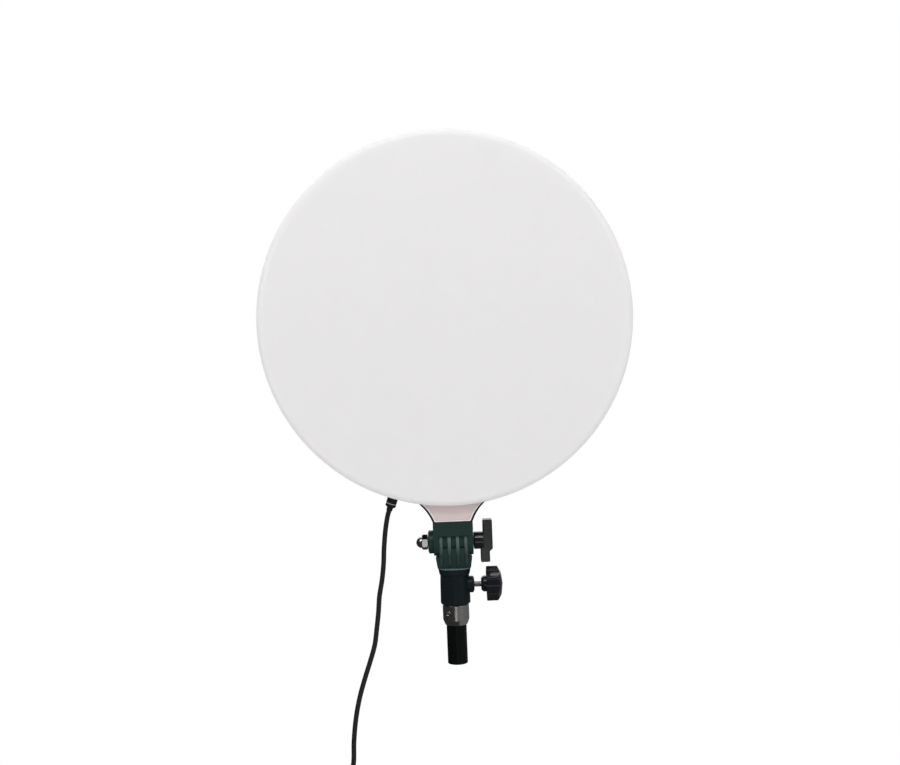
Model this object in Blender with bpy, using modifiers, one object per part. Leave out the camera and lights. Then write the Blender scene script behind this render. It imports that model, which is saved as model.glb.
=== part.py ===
"""A round LED soft light on its tilting bracket, with the top of its stand tube and its power lead.

Metres, +Z up. The light faces -Y. The origin is the centre of the stand tube's lower end face.
"""

from math import cos, radians, sin, sqrt, tau

import bmesh
import bpy
from mathutils import Matrix, Vector

# Clearances, and how far tools and joined pieces run past a surface
GAP = 0.0003
CORD_GAP = 0.0003
FINGER_ROOT_GAP = 0.0009
OVERRUN = 0.0010
HAIR = 0.0001
SINK = 0.0004
WELD = 0.00001

# Stand tube, collar and spigot
TUBE_LENGTH = 0.052
TUBE_RADIUS = 0.0098
TUBE_WALL = 0.0012
TUBE_PLUG_LENGTH = 0.008
COLLAR_SEAT = 0.0135
COLLAR_LENGTH = 0.020
COLLAR_RADIUS = 0.0129
COLLAR_TAPER = 0.0050
COLLAR_NOSE = 0.0109
SPIGOT_RADIUS = 0.0080
SPIGOT_LENGTH = 0.0270
SPIGOT_GROOVE_RADIUS = 0.0069
SPIGOT_GROOVE_WIDTH = 0.0090
SET_SCREW_RADIUS = 0.0020
SET_SCREW_ANGLE = radians(-34.0)
SET_SCREW_RISE = 0.0130
SET_SCREW_KEY_RADIUS = 0.0010
SET_SCREW_KEY_DEPTH = 0.0012

# Tilt bracket
SOCKET_RADIUS = 0.0146
SOCKET_LENGTH = 0.0357
SOCKET_EDGE = 0.0012
LEDGE_HEIGHT = 0.0065
LEDGE_HALF_WIDTH = 0.0159
LEDGE_CORNER = 0.0050
SHOULDER_HALF_WIDTH = 0.0179
SHOULDER_HALF_DEPTH = 0.0095
PIVOT_RISE = 0.0255
CORE_HALF_DEPTH = 0.0088
BRACKET_LOBE = 0.0110
BRACKET_FINGER = 0.0035
FINGER_PITCH = 0.0041
RIB_FOOT = 0.0050
BRACKET_EDGE = 0.0010

# Clamp screw and star knob
CLAMP_RISE = 0.0182
CLAMP_BOSS_RADIUS = 0.0081
CLAMP_BOSS_END = 0.0189
CLAMP_SCREW_RADIUS = 0.0029
INSERT_RADIUS = 0.0045
INSERT_LENGTH = 0.0080
STAR_HUB_START = 0.0256
STAR_HUB_RADIUS = 0.0078
STAR_START = 0.0308
STAR_RIM_END = 0.0415
STAR_END = 0.0466
STAR_RADIUS = 0.0172
STAR_LOBES = 6
STAR_LOBE_DEPTH = 0.0034
STAR_EDGE = 0.0016
STAR_SHOULDER = 0.0110
STAR_SHOULDER_DROP = 0.0014
STAR_SOCKET_DEPTH = 0.0160

# Knuckle under the head
HEAD_LOBE = 0.0090
CHEEK_LOBE = 0.0135
KNUCKLE_HALF_WIDTH = 0.0194
NECK_HALF_DEPTH = 0.0135
BLOCK_RISE = 0.0125
BLOCK_TOP_RISE = 0.0207
LIP_RISE = 0.0070
LIP_WALL = 0.0016
TONGUE_LENGTH = 0.0130
NUT_BOSS_RADIUS = 0.0113
NUT_BOSS_LENGTH = 0.0052

# Tilt bolt, cap nut, washer and T handle
BOLT_RADIUS = 0.0040
NUT_ACROSS_FLATS = 0.0130
NUT_HEX_LENGTH = 0.0058
NUT_DOME_RADIUS = 0.0056
NUT_HOLE_RISE = 0.0019
WASHER_RADIUS = 0.0080
WASHER_THICKNESS = 0.0012
HANDLE_HUB_RADIUS = 0.0085
HANDLE_HUB_LENGTH = 0.0098
HANDLE_THICKNESS = 0.0110
UPPER_WING_START = 0.0288
UPPER_WING_END = 0.0382
UPPER_WING_REACH = 0.0206
LOWER_WING_START = 0.0262
LOWER_WING_END = 0.0352
LOWER_WING_REACH = 0.0210
WING_STEP = 0.0098
WING_SLOPE = 0.0005
WING_WAIST = 0.0007
WING_EDGE = 0.0013
HUB_SINK = 0.0040

# Front cover, measured forward from the pole's plane
NECK_HEIGHT = 0.0370
COVER_RADIUS = 0.1800
COVER_WALL = 0.0020
COVER_FRONT = 0.0235
COVER_DOME = 0.0010
COVER_CORNER = 0.0070
COVER_SKIRT = 0.0080

# Rear housing
HOUSING_WALL = 0.0024
RIM_FIT = 0.0004
RIM_OVERLAP = 0.0060
SHOULDER_LIP = 0.0006
SHOULDER_DEPTH = 0.0025
PAN_INSET = 0.0070
PAN_TAPER_DEPTH = 0.0026
PAN_CORNER = 0.0070
NECK_WALL = 0.0016
NECK_FLARE = 0.0450
NECK_FLARE_START = radians(20.0)
NECK_FLARE_RISE = 0.0170
NECK_FRONT_REACH = 0.0040
NECK_BACK_STEP = 0.0005
NECK_SHOULDER_STEP = 0.0004
PLATE_RECESS = 0.0010
PLATE_THICKNESS = 0.0020
PLATE_REACH = 0.0030
PASSAGE_HALF_WIDTH = 0.0120
PILLAR_INSET = 0.0070
PILLAR_RADIUS = 0.0042
PILLAR_COUNT = 6
VENT_COUNT = 5
VENT_LENGTH = 0.0340
VENT_WIDTH = 0.0030
VENT_CORNER = 0.0012
VENT_PITCH = 0.0080
VENT_RISE = 0.0700
VENT_SPREAD = 0.0420

# Screws
SCREW_RADIUS = 0.0015
SCREW_HEAD_RADIUS = 0.0028
SCREW_HEAD_HEIGHT = 0.0018
SCREW_CROWN_RADIUS = 0.0021
SCREW_CROWN_DROP = 0.0007
SCREW_TIP_SHORT = 0.0025
NECK_SCREW_LENGTH = 0.0090
NECK_SCREW_SPREAD = 0.0090
NECK_SCREW_RISE = 0.0280

# LED board and reflector
BOARD_MARGIN = 0.0056
BOARD_THICKNESS = 0.0016
BOARD_FORWARD = 0.0030
LED_SIZE = 0.0035
LED_HEIGHT = 0.0008
LED_RINGS = ((0.050, 6), (0.110, 12))
REFLECTOR_WALL = 0.0012
REFLECTOR_FOOT = 0.0050
REFLECTOR_MARGIN = 0.0012
REFLECTOR_SHORT = 0.0065

# Control box on the back
BOX_DROP = 0.0950
BOX_WIDTH = 0.1240
BOX_HEIGHT = 0.0620
BOX_CORNER = 0.0140
BOX_DEPTH = 0.0080
BOX_EDGE = 0.0015
DIAL_SPREAD = 0.0380
DIAL_RADIUS = 0.0120
DIAL_LENGTH = 0.0120
DIAL_FLUTES = 16
DIAL_FLUTE_DEPTH = 0.0009
DIAL_EDGE = 0.0008
SHAFT_RADIUS = 0.0030
SHAFT_REACH = 0.0095
BUSHING_RADIUS = 0.0040
BUSHING_STAND = 0.0016
POT_SIZE = 0.0160
POT_DEPTH = 0.0080
POT_EDGE = 0.0008
SWITCH_WIDTH = 0.0128
SWITCH_HEIGHT = 0.0190
SWITCH_FRAME = 0.0011
SWITCH_FRAME_DEPTH = 0.0016
SWITCH_EDGE = 0.0005
ROCKER_WIDTH = 0.0094
ROCKER_HEIGHT = 0.0146
ROCKER_CREST = 0.0026
ROCKER_DIP = 0.0016
ROCKER_KEEL = 0.0030
ROCKER_LEAN = 0.0007
ROCKER_EDGE = 0.0003
ROCKER_REST = radians(-8.0)
DRIVER_WIDTH = 0.0960
DRIVER_HEIGHT = 0.0440
DRIVER_THICKNESS = 0.0016
INDUCTOR_RADIUS = 0.0065
INDUCTOR_HEIGHT = 0.0060
INDUCTOR_PLACE = (-0.0300, 0.0060)
CAPACITOR_RADIUS = 0.0045
CAPACITOR_HEIGHT = 0.0070
CAPACITOR_PLACES = ((0.0100, 0.0080), (0.0220, 0.0080))
CHIP_SIZE = (0.0120, 0.0080)
CHIP_HEIGHT = 0.0018
CHIP_PLACE = (-0.0020, -0.0080)

# Power jack and plug, on a line from the disc's centre through the rim
JACK_ANGLE = radians(18.4)
JACK_BACK = 0.0030
JACK_SETBACK = 0.0008
JACK_WIDTH = 0.0090
JACK_LENGTH = 0.0130
SLEEVE_RADIUS = 0.0040
JACK_BORE = 0.0031
BARREL_RADIUS = 0.00275
BARREL_LENGTH = 0.0095
JACK_CUT = 0.0060
PLUG_RADIUS = 0.0052
PLUG_GRIP = 0.0184
PLUG_EDGE = 0.0006
PLUG_GROOVE = 0.0140
PLUG_GROOVE_WIDTH = 0.0010
PLUG_GROOVE_DEPTH = 0.0006
PLUG_FOOT = 0.0014
RELIEF_LENGTH = 0.0036
RELIEF_RADIUS = 0.0031
RELIEF_END_RADIUS = 0.0027

# Power lead
CORD_DIAMETER = 0.0048
CORD_RADIUS = CORD_DIAMETER / 2
# Points of the hanging lead below its plug: X across, Y back and Z up
LEAD_ROUTE = (
    (-0.0659, 0.0028, 0.1335),
    (-0.0680, 0.0024, 0.1158),
    (-0.0691, 0.0018, 0.1000),
    (-0.0712, 0.0010, 0.0843),
    (-0.0743, 0.0000, 0.0686),
    (-0.0759, -0.0012, 0.0529),
    (-0.0781, -0.0026, 0.0371),
    (-0.0807, -0.0040, 0.0213),
    (-0.0857, -0.0053, 0.0056),
    (-0.0912, -0.0064, -0.0100),
    (-0.0972, -0.0073, -0.0290),
    (-0.1018, -0.0079, -0.0500),
    (-0.1046, -0.0082, -0.0720),
    (-0.1060, -0.0083, -0.0940),
)
COIL_LAYERS = 4
COIL_TURNS = 9.125
COIL_START = radians(135.0)
COIL_OUTER_RADIUS = 0.0345
COIL_PITCH = 0.0055
COIL_CENTRE_X = -0.0930
COIL_CENTRE_Z = -0.1480
COIL_LOOP_POINTS = 24
TAIL_LENGTH = 0.0560
TIE_ANGLE = radians(157.5)
TIE_WIDTH = 0.0070
TIE_THICKNESS = 0.0014
TIE_CLEARANCE = 0.0008

# Wall adapter
ADAPTER_WIDTH = 0.0420
ADAPTER_DEPTH = 0.0280
ADAPTER_HEIGHT = 0.0580
ADAPTER_EDGE = 0.0040
ADAPTER_RELIEF_LENGTH = 0.0130
ADAPTER_RELIEF_RADIUS = 0.0050
ADAPTER_RELIEF_TIP = 0.0033
ADAPTER_RELIEF_COLLAR = 0.0020
BLADE_WIDTH = 0.0063
BLADE_THICKNESS = 0.0015
BLADE_LENGTH = 0.0170
BLADE_SPACING = 0.0127
BLADE_EDGE = 0.0003

# Facets
DISC_STEPS = 60
BOARD_STEPS = 36
ROUND_STEPS = 24
BORE_STEPS = 20
SMALL_STEPS = 12
SCREW_STEPS = 10
STAR_POINTS = 7
DIAL_POINTS = 3

# Heights and depths that follow from the sizes above
COLLAR_BOTTOM = TUBE_LENGTH - COLLAR_SEAT
COLLAR_TOP = COLLAR_BOTTOM + COLLAR_LENGTH
SOCKET_BOTTOM = COLLAR_TOP + GAP
LEDGE_TOP = SOCKET_BOTTOM + SOCKET_LENGTH
CLAMP_Z = SOCKET_BOTTOM + CLAMP_RISE
TILT_Z = LEDGE_TOP + PIVOT_RISE
BLOCK_BOTTOM = TILT_Z + BLOCK_RISE
BLOCK_TOP = TILT_Z + BLOCK_TOP_RISE
NECK_BOTTOM = BLOCK_TOP + GAP
DISC_Z = TILT_Z + NECK_HEIGHT + COVER_RADIUS
HEAD_FINGER = 2 * FINGER_PITCH - BRACKET_FINGER - 2 * GAP
FORK_HALF_WIDTH = 3 * FINGER_PITCH + BRACKET_FINGER / 2
CHEEK_START = FORK_HALF_WIDTH + GAP
BOX_Z = DISC_Z - BOX_DROP
BOX_FACE = NECK_HALF_DEPTH + BOX_DEPTH
BOX_INNER_FACE = BOX_FACE - HOUSING_WALL
DRIVER_BACK = BOX_INNER_FACE - POT_DEPTH - 2 * GAP
PAN_INSIDE = NECK_HALF_DEPTH - HOUSING_WALL
RIM_RADIUS = COVER_RADIUS - COVER_WALL - RIM_FIT
RIM_FRONT = COVER_SKIRT + RIM_OVERLAP
PAN_RADIUS = COVER_RADIUS - PAN_INSET
BOARD_RADIUS = PAN_RADIUS - HOUSING_WALL - BOARD_MARGIN
PILLAR_CIRCLE = BOARD_RADIUS - PILLAR_INSET
REFLECTOR_RADIUS = RIM_RADIUS - HOUSING_WALL - REFLECTOR_MARGIN
REFLECTOR_FORWARD = COVER_FRONT - REFLECTOR_SHORT
BOLT_HOLE = BOLT_RADIUS + GAP
HANDLE_START = KNUCKLE_HALF_WIDTH + GAP
COIL_LEG = COIL_TURNS / COIL_LAYERS

PARTS = "led_soft_light"
CUTTERS = "cutters"


def clear_scene():
    """Start from an empty scene with one collection for the parts and one for the cutters."""
    for old in list(bpy.data.objects):
        bpy.data.objects.remove(old)
    for name in (PARTS, CUTTERS):
        collection = bpy.data.collections.new(name)
        bpy.context.scene.collection.children.link(collection)


def helper(name, data):
    """A new object among the cutters, hidden from renders."""
    tool = bpy.data.objects.new(name, data)
    bpy.data.collections[CUTTERS].objects.link(tool)
    tool.hide_render = True
    tool.display_type = "WIRE"
    return tool


def finish_for(name, colour, roughness, metallic):
    """One Principled material from an sRGB colour written as hex digits."""
    material = bpy.data.materials.new(name + "_finish")
    material.use_nodes = True
    shader = material.node_tree.nodes["Principled BSDF"]
    parts = [int(colour[k : k + 2], 16) / 255 for k in (0, 2, 4)]
    linear = [c / 12.92 if c <= 0.04045 else ((c + 0.055) / 1.055) ** 2.4 for c in parts]
    shader.inputs["Base Color"].default_value = (*linear, 1.0)
    shader.inputs["Roughness"].default_value = roughness
    shader.inputs["Metallic"].default_value = metallic
    return material


def keep(shape, name, look, parent=None):
    """Move a finished shape to the parts, with its name, its material and the empty that carries it."""
    bpy.data.collections[CUTTERS].objects.unlink(shape)
    bpy.data.collections[PARTS].objects.link(shape)
    shape.hide_render = False
    shape.display_type = "TEXTURED"
    shape.name = name
    shape.data.materials.clear()
    shape.data.materials.append(finish_for(name, *look))
    shape.data.shade_smooth()
    shape.data.set_sharp_from_angle(angle=radians(35))
    if parent is not None:
        bpy.context.view_layer.update()
        shape.parent = parent
        shape.matrix_parent_inverse = parent.matrix_world.inverted()
    return shape


def pivot(name, place, parent=None):
    """An empty on a joint's axis."""
    empty = bpy.data.objects.new(name, None)
    bpy.data.collections[PARTS].objects.link(empty)
    empty.empty_display_size = 0.02
    empty.location = place
    if parent is not None:
        bpy.context.view_layer.update()
        empty.parent = parent
        empty.matrix_parent_inverse = parent.matrix_world.inverted()
    return empty


def boolean(shape, tool, operation):
    """Cut or join with another shape, which stays among the cutters."""
    modifier = shape.modifiers.new(operation.lower() + "_" + tool.name, "BOOLEAN")
    modifier.operation = operation
    modifier.object = tool
    modifier.solver = "EXACT"


def cut(shape, *tools):
    for tool in tools:
        boolean(shape, tool, "DIFFERENCE")
    return shape


def join(shape, *tools):
    for tool in tools:
        boolean(shape, tool, "UNION")
    return shape


def solidified(shape):
    """The same object as a plain mesh, its points welded and its faces pointing out."""
    graph = bpy.context.evaluated_depsgraph_get()
    mesh = bpy.data.meshes.new_from_object(shape.evaluated_get(graph))
    edit = bmesh.new()
    edit.from_mesh(mesh)
    bmesh.ops.remove_doubles(edit, verts=edit.verts, dist=WELD)
    bmesh.ops.recalc_face_normals(edit, faces=edit.faces)
    edit.to_mesh(mesh)
    edit.free()
    name, matrix = shape.name, shape.matrix_world.copy()
    bpy.data.objects.remove(shape)
    plain = helper(name, mesh)
    plain.matrix_world = matrix
    return plain


def block(name, low, high, edge=0.0):
    """A box between two corners, with its edges bevelled where a width is given."""
    low, high = Vector(low), Vector(high)
    edit = bmesh.new()
    bmesh.ops.create_cube(edit, size=1.0)
    bmesh.ops.scale(edit, vec=high - low, verts=edit.verts)
    if edge:
        bmesh.ops.bevel(edit, geom=edit.edges[:], offset=edge, segments=2, profile=0.5, affect="EDGES")
    mesh = bpy.data.meshes.new(name)
    edit.to_mesh(mesh)
    edit.free()
    shape = helper(name, mesh)
    shape.location = (low + high) / 2
    return shape


def facing(direction):
    """The rotation that turns local +Z to a direction."""
    return Vector(direction).to_track_quat("Z", "Y").to_euler()


def rod(name, start, end, radius, sides=ROUND_STEPS, end_radius=None):
    """A cylinder, or a cone where the end's radius differs, from one point to another."""
    start, end = Vector(start), Vector(end)
    edit = bmesh.new()
    bmesh.ops.create_cone(
        edit,
        cap_ends=True,
        segments=sides,
        radius1=radius,
        radius2=radius if end_radius is None else end_radius,
        depth=(end - start).length,
    )
    mesh = bpy.data.meshes.new(name)
    edit.to_mesh(mesh)
    edit.free()
    shape = helper(name, mesh)
    shape.location = (start + end) / 2
    shape.rotation_euler = facing(end - start)
    return shape


def turned(name, profile, place=(0, 0, 0), direction=(0, 0, 1), steps=ROUND_STEPS):
    """A profile of (radius, height) points turned about an axis. Its ends lie on the axis or meet."""
    on_axis = profile[0][0] == 0 and profile[-1][0] == 0
    edges = [(k, k + 1) for k in range(len(profile) - 1)]
    if not on_axis:
        edges.append((len(profile) - 1, 0))
    mesh = bpy.data.meshes.new(name)
    mesh.from_pydata([(radius, 0, height) for radius, height in profile], edges, [])
    shape = helper(name, mesh)
    shape.location = place
    shape.rotation_euler = facing(direction)
    screw = shape.modifiers.new("turn", "SCREW")
    screw.steps = steps
    screw.render_steps = steps
    screw.use_merge_vertices = True
    screw.merge_threshold = WELD
    bpy.context.view_layer.update()
    return solidified(shape)


def arc(centre, radius, start, end, count):
    """Points along an arc, both ends included. Angles are in degrees."""
    points = []
    for k in range(count + 1):
        angle = radians(start + (end - start) * k / count)
        points.append((centre[0] + radius * cos(angle), centre[1] + radius * sin(angle)))
    return points


def rounded_rectangle(width, height, corner, count=4):
    """The outline of a rectangle with round corners, about its own centre."""
    x, y = width / 2 - corner, height / 2 - corner
    points = []
    for quarter, (sx, sy) in enumerate(((1, 1), (-1, 1), (-1, -1), (1, -1))):
        points += arc((sx * x, sy * y), corner, 90 * quarter, 90 * quarter + 90, count)
    return points


def plate(name, outlines, thickness, edge=0.0, segments=2):
    """Flat outlines filled and given a thickness, lying about local Z = 0. A second outline is a hole."""
    curve = bpy.data.curves.new(name, "CURVE")
    curve.dimensions = "2D"
    curve.fill_mode = "BOTH"
    curve.extrude = thickness / 2
    for outline in outlines:
        spline = curve.splines.new("POLY")
        spline.points.add(len(outline) - 1)
        for point, (x, y) in zip(spline.points, outline):
            point.co = (x, y, 0, 1)
        spline.use_cyclic_u = True
    shape = helper(name, curve)
    bpy.context.view_layer.update()
    shape = solidified(shape)
    if edge:
        bevel = shape.modifiers.new("edge", "BEVEL")
        bevel.width = edge
        bevel.segments = segments
        bevel.limit_method = "ANGLE"
        bevel.angle_limit = radians(50)
        bpy.context.view_layer.update()
        shape = solidified(shape)
    return shape


def across(shape, x):
    """Stand a plate whose outline is (Y, Z) at a place along X."""
    shape.matrix_world = Matrix(((0, 0, 1, x), (1, 0, 0, 0), (0, 1, 0, 0), (0, 0, 0, 1)))
    return shape


def upright(shape, y, x=0.0, z=0.0):
    """Stand a plate whose outline is (X, Z) at a place along Y."""
    shape.matrix_world = Matrix(((1, 0, 0, x), (0, 0, -1, y), (0, 1, 0, z), (0, 0, 0, 1)))
    return shape


def flat(shape, z, x=0.0, y=0.0):
    """Lay a plate whose outline is (X, Y) at a height."""
    shape.location = (x, y, z)
    return shape


def merged(name, shapes):
    """Several shapes that don't touch, as one helper."""
    edit = bmesh.new()
    bpy.context.view_layer.update()
    for shape in shapes:
        copy = shape.data.copy()
        copy.transform(shape.matrix_world)
        edit.from_mesh(copy)
        bpy.data.meshes.remove(copy)
        bpy.data.objects.remove(shape)
    mesh = bpy.data.meshes.new(name)
    edit.to_mesh(mesh)
    edit.free()
    return helper(name, mesh)


def smooth_curve(points, spacing):
    """Points at an even spacing along a Catmull-Rom curve through the given ones."""
    knots = [Vector(point) for point in points]
    knots = [2 * knots[0] - knots[1]] + knots + [2 * knots[-1] - knots[-2]]
    fine = []
    for k in range(1, len(knots) - 2):
        before, start, end, after = knots[k - 1 : k + 3]
        for part in range(12):
            t = part / 12
            fine.append(
                0.5
                * (
                    2 * start
                    + (end - before) * t
                    + (2 * before - 5 * start + 4 * end - after) * t**2
                    + (3 * start - before - 3 * end + after) * t**3
                )
            )
    fine.append(knots[-2])
    lengths = [0.0]
    for a, b in zip(fine, fine[1:]):
        lengths.append(lengths[-1] + (b - a).length)
    count = round(lengths[-1] / spacing)
    result, k = [], 0
    for step in range(count + 1):
        target = lengths[-1] * step / count
        while k < len(fine) - 2 and lengths[k + 1] < target:
            k += 1
        share = (target - lengths[k]) / (lengths[k + 1] - lengths[k])
        result.append(fine[k].lerp(fine[k + 1], share))
    return result


def path_length(points):
    return sum((b - a).length for a, b in zip(points, points[1:]))


def cord(name, points, resolution):
    """A round tube along points, as a curve with filled caps."""
    curve = bpy.data.curves.new(name, "CURVE")
    curve.dimensions = "3D"
    curve.bevel_depth = CORD_RADIUS
    curve.bevel_resolution = resolution
    curve.use_fill_caps = True
    spline = curve.splines.new("POLY")
    spline.points.add(len(points) - 1)
    for point, place in zip(spline.points, points):
        point.co = (*place, 1)
    shape = helper(name, curve)
    bpy.context.view_layer.update()
    return solidified(shape)


# The finishes: sRGB colour, roughness and metallic value
BLACK_ABS = ("1b1e1f", 0.55, 0.0)
DARK_NYLON = ("1f2b29", 0.50, 0.0)
MILKY_ACRYLIC = ("f0eeef", 0.45, 0.0)
WHITE_ABS = ("e2d8d8", 0.45, 0.0)
BLACK_KNOB = ("232428", 0.45, 0.0)
CHROME = ("d8d8d6", 0.12, 1.0)
STEEL = ("b4b2ae", 0.28, 1.0)
BRASS = ("b08d4f", 0.30, 1.0)
BLACK_PAINT = ("0c1112", 0.35, 0.0)
SOFT_PVC = ("111214", 0.55, 0.0)
ALUMINIUM = ("c9cbcc", 0.40, 1.0)
GREEN_BOARD = ("1f5a3a", 0.45, 0.0)
WHITE_CARD = ("efefec", 0.60, 0.0)


def stand(root):
    """Stand tube with its end plug, and the steel collar with the spigot that the socket slips over."""
    inner = TUBE_RADIUS - TUBE_WALL
    tube = turned(
        "tube",
        [(TUBE_RADIUS, TUBE_LENGTH), (TUBE_RADIUS, 0), (inner, 0), (inner, TUBE_LENGTH)],
        steps=ROUND_STEPS,
    )
    keep(tube, "stand_tube", BLACK_PAINT, root)
    plug = rod("plug", (0, 0, 0), (0, 0, TUBE_PLUG_LENGTH), inner - GAP)
    keep(plug, "tube_plug", BLACK_KNOB, root)

    groove_low = CLAMP_Z - SPIGOT_GROOVE_WIDTH / 2
    groove_high = CLAMP_Z + SPIGOT_GROOVE_WIDTH / 2
    slope = SPIGOT_RADIUS - SPIGOT_GROOVE_RADIUS
    top = COLLAR_TOP + SPIGOT_LENGTH
    socket = TUBE_RADIUS + GAP
    roof = TUBE_LENGTH + GAP
    profile = [
        (0, top),
        (SPIGOT_RADIUS - slope, top),
        (SPIGOT_RADIUS, top - slope),
        (SPIGOT_RADIUS, groove_high + slope),
        (SPIGOT_GROOVE_RADIUS, groove_high),
        (SPIGOT_GROOVE_RADIUS, groove_low),
        (SPIGOT_RADIUS, groove_low - slope),
        (SPIGOT_RADIUS, COLLAR_TOP),
        (COLLAR_RADIUS - slope / 2, COLLAR_TOP),
        (COLLAR_RADIUS, COLLAR_TOP - slope / 2),
        (COLLAR_RADIUS, COLLAR_BOTTOM + COLLAR_TAPER),
        (COLLAR_NOSE, COLLAR_BOTTOM),
        (socket, COLLAR_BOTTOM),
        (socket, roof),
        (0, roof),
    ]
    collar = turned("collar", profile, steps=ROUND_STEPS)
    outward = Vector((sin(SET_SCREW_ANGLE), -cos(SET_SCREW_ANGLE), 0))
    seat = Vector((0, 0, COLLAR_BOTTOM + SET_SCREW_RISE))
    hole = rod(
        "set_screw_hole",
        seat + outward * (socket - OVERRUN),
        seat + outward * (COLLAR_RADIUS + OVERRUN),
        SET_SCREW_RADIUS + GAP,
        SMALL_STEPS,
    )
    keep(cut(collar, hole), "spigot_collar", STEEL, root)
    tip, face = seat + outward * socket, seat + outward * COLLAR_RADIUS
    screw = rod("set_screw", tip, face, SET_SCREW_RADIUS, SMALL_STEPS)
    key = rod(
        "set_screw_key",
        seat + outward * (COLLAR_RADIUS - SET_SCREW_KEY_DEPTH),
        seat + outward * (COLLAR_RADIUS + OVERRUN),
        SET_SCREW_KEY_RADIUS,
        6,
    )
    keep(cut(screw, key), "collar_set_screw", STEEL, root)


def tilt_bracket(carrier):
    """The bracket's four ribs and fingers, its ledge, the round socket and the clamp's boss."""
    root_floor = TILT_Z - HEAD_LOBE - FINGER_ROOT_GAP
    rib_foot = LEDGE_TOP - GAP
    body = block(
        "bracket_core",
        (-FORK_HALF_WIDTH, -CORE_HALF_DEPTH, LEDGE_TOP - LEDGE_HEIGHT / 2),
        (FORK_HALF_WIDTH, CORE_HALF_DEPTH, root_floor),
    )
    for place in (-3, -1, 1, 3):
        outline = arc((0, TILT_Z), BRACKET_LOBE, 0, 180, 12)
        outline += [(-BRACKET_LOBE, rib_foot + RIB_FOOT), (-CORE_HALF_DEPTH, rib_foot)]
        outline += [(CORE_HALF_DEPTH, rib_foot), (BRACKET_LOBE, rib_foot + RIB_FOOT)]
        rib = across(plate("rib", [outline], BRACKET_FINGER), place * FINGER_PITCH)
        join(body, rib)
    shoulder_top = TILT_Z - CHEEK_LOBE - FINGER_ROOT_GAP
    shoulder = [
        (-LEDGE_HALF_WIDTH, LEDGE_TOP - LEDGE_HEIGHT / 2),
        (LEDGE_HALF_WIDTH, LEDGE_TOP - LEDGE_HEIGHT / 2),
        (SHOULDER_HALF_WIDTH, shoulder_top),
        (-SHOULDER_HALF_WIDTH, shoulder_top),
    ]
    join(body, upright(plate("shoulder", [shoulder], 2 * SHOULDER_HALF_DEPTH, BRACKET_EDGE), 0))
    ledge_outline = rounded_rectangle(2 * LEDGE_HALF_WIDTH, 2 * SOCKET_RADIUS, LEDGE_CORNER)
    ledge = flat(plate("ledge", [ledge_outline], LEDGE_HEIGHT, BRACKET_EDGE), LEDGE_TOP - LEDGE_HEIGHT / 2)
    profile = [
        (0, LEDGE_TOP - LEDGE_HEIGHT / 2),
        (SOCKET_RADIUS, LEDGE_TOP - LEDGE_HEIGHT / 2),
        (SOCKET_RADIUS, SOCKET_BOTTOM + SOCKET_EDGE),
        (SOCKET_RADIUS - SOCKET_EDGE, SOCKET_BOTTOM),
        (0, SOCKET_BOTTOM),
    ]
    socket = turned("socket", profile, steps=ROUND_STEPS)
    boss = rod("clamp_boss", (0, 0, CLAMP_Z), (CLAMP_BOSS_END, 0, CLAMP_Z), CLAMP_BOSS_RADIUS)
    join(body, ledge, socket, boss)
    bore_top = COLLAR_TOP + SPIGOT_LENGTH + GAP
    bore = rod("spigot_bore", (0, 0, SOCKET_BOTTOM - OVERRUN), (0, 0, bore_top), SPIGOT_RADIUS + GAP)
    boss_mouth = (CLAMP_BOSS_END + OVERRUN, 0, CLAMP_Z)
    clamp_hole = rod("clamp_hole", (SPIGOT_GROOVE_RADIUS, 0, CLAMP_Z), boss_mouth, CLAMP_SCREW_RADIUS + GAP)
    insert_start = CLAMP_BOSS_END - INSERT_LENGTH - GAP
    insert_hole = rod("insert_hole", (insert_start, 0, CLAMP_Z), boss_mouth, INSERT_RADIUS + GAP)
    reach = FORK_HALF_WIDTH + OVERRUN
    pivot_hole = rod("pivot_hole", (-reach, 0, TILT_Z), (reach, 0, TILT_Z), BOLT_HOLE)
    keep(cut(body, bore, clamp_hole, insert_hole, pivot_hole), "tilt_bracket", DARK_NYLON, carrier)
    insert = turned(
        "insert",
        [
            (INSERT_RADIUS, INSERT_LENGTH),
            (INSERT_RADIUS, 0),
            (CLAMP_SCREW_RADIUS + GAP, 0),
            (CLAMP_SCREW_RADIUS + GAP, INSERT_LENGTH),
        ],
        (CLAMP_BOSS_END - INSERT_LENGTH, 0, CLAMP_Z),
        (1, 0, 0),
    )
    keep(insert, "clamp_insert", BRASS, carrier)


def star_outline(radius, depth, lobes, points_each):
    """A lobed outline: round lobes with hollows between them, and a lobe at the top and the bottom."""
    points = []
    for k in range(lobes * points_each):
        angle = tau * k / (lobes * points_each)
        hollow = (0.5 - 0.5 * cos(lobes * angle)) ** 2
        reach = radius - depth * hollow
        points.append((-reach * sin(angle), reach * cos(angle)))
    return points


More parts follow.
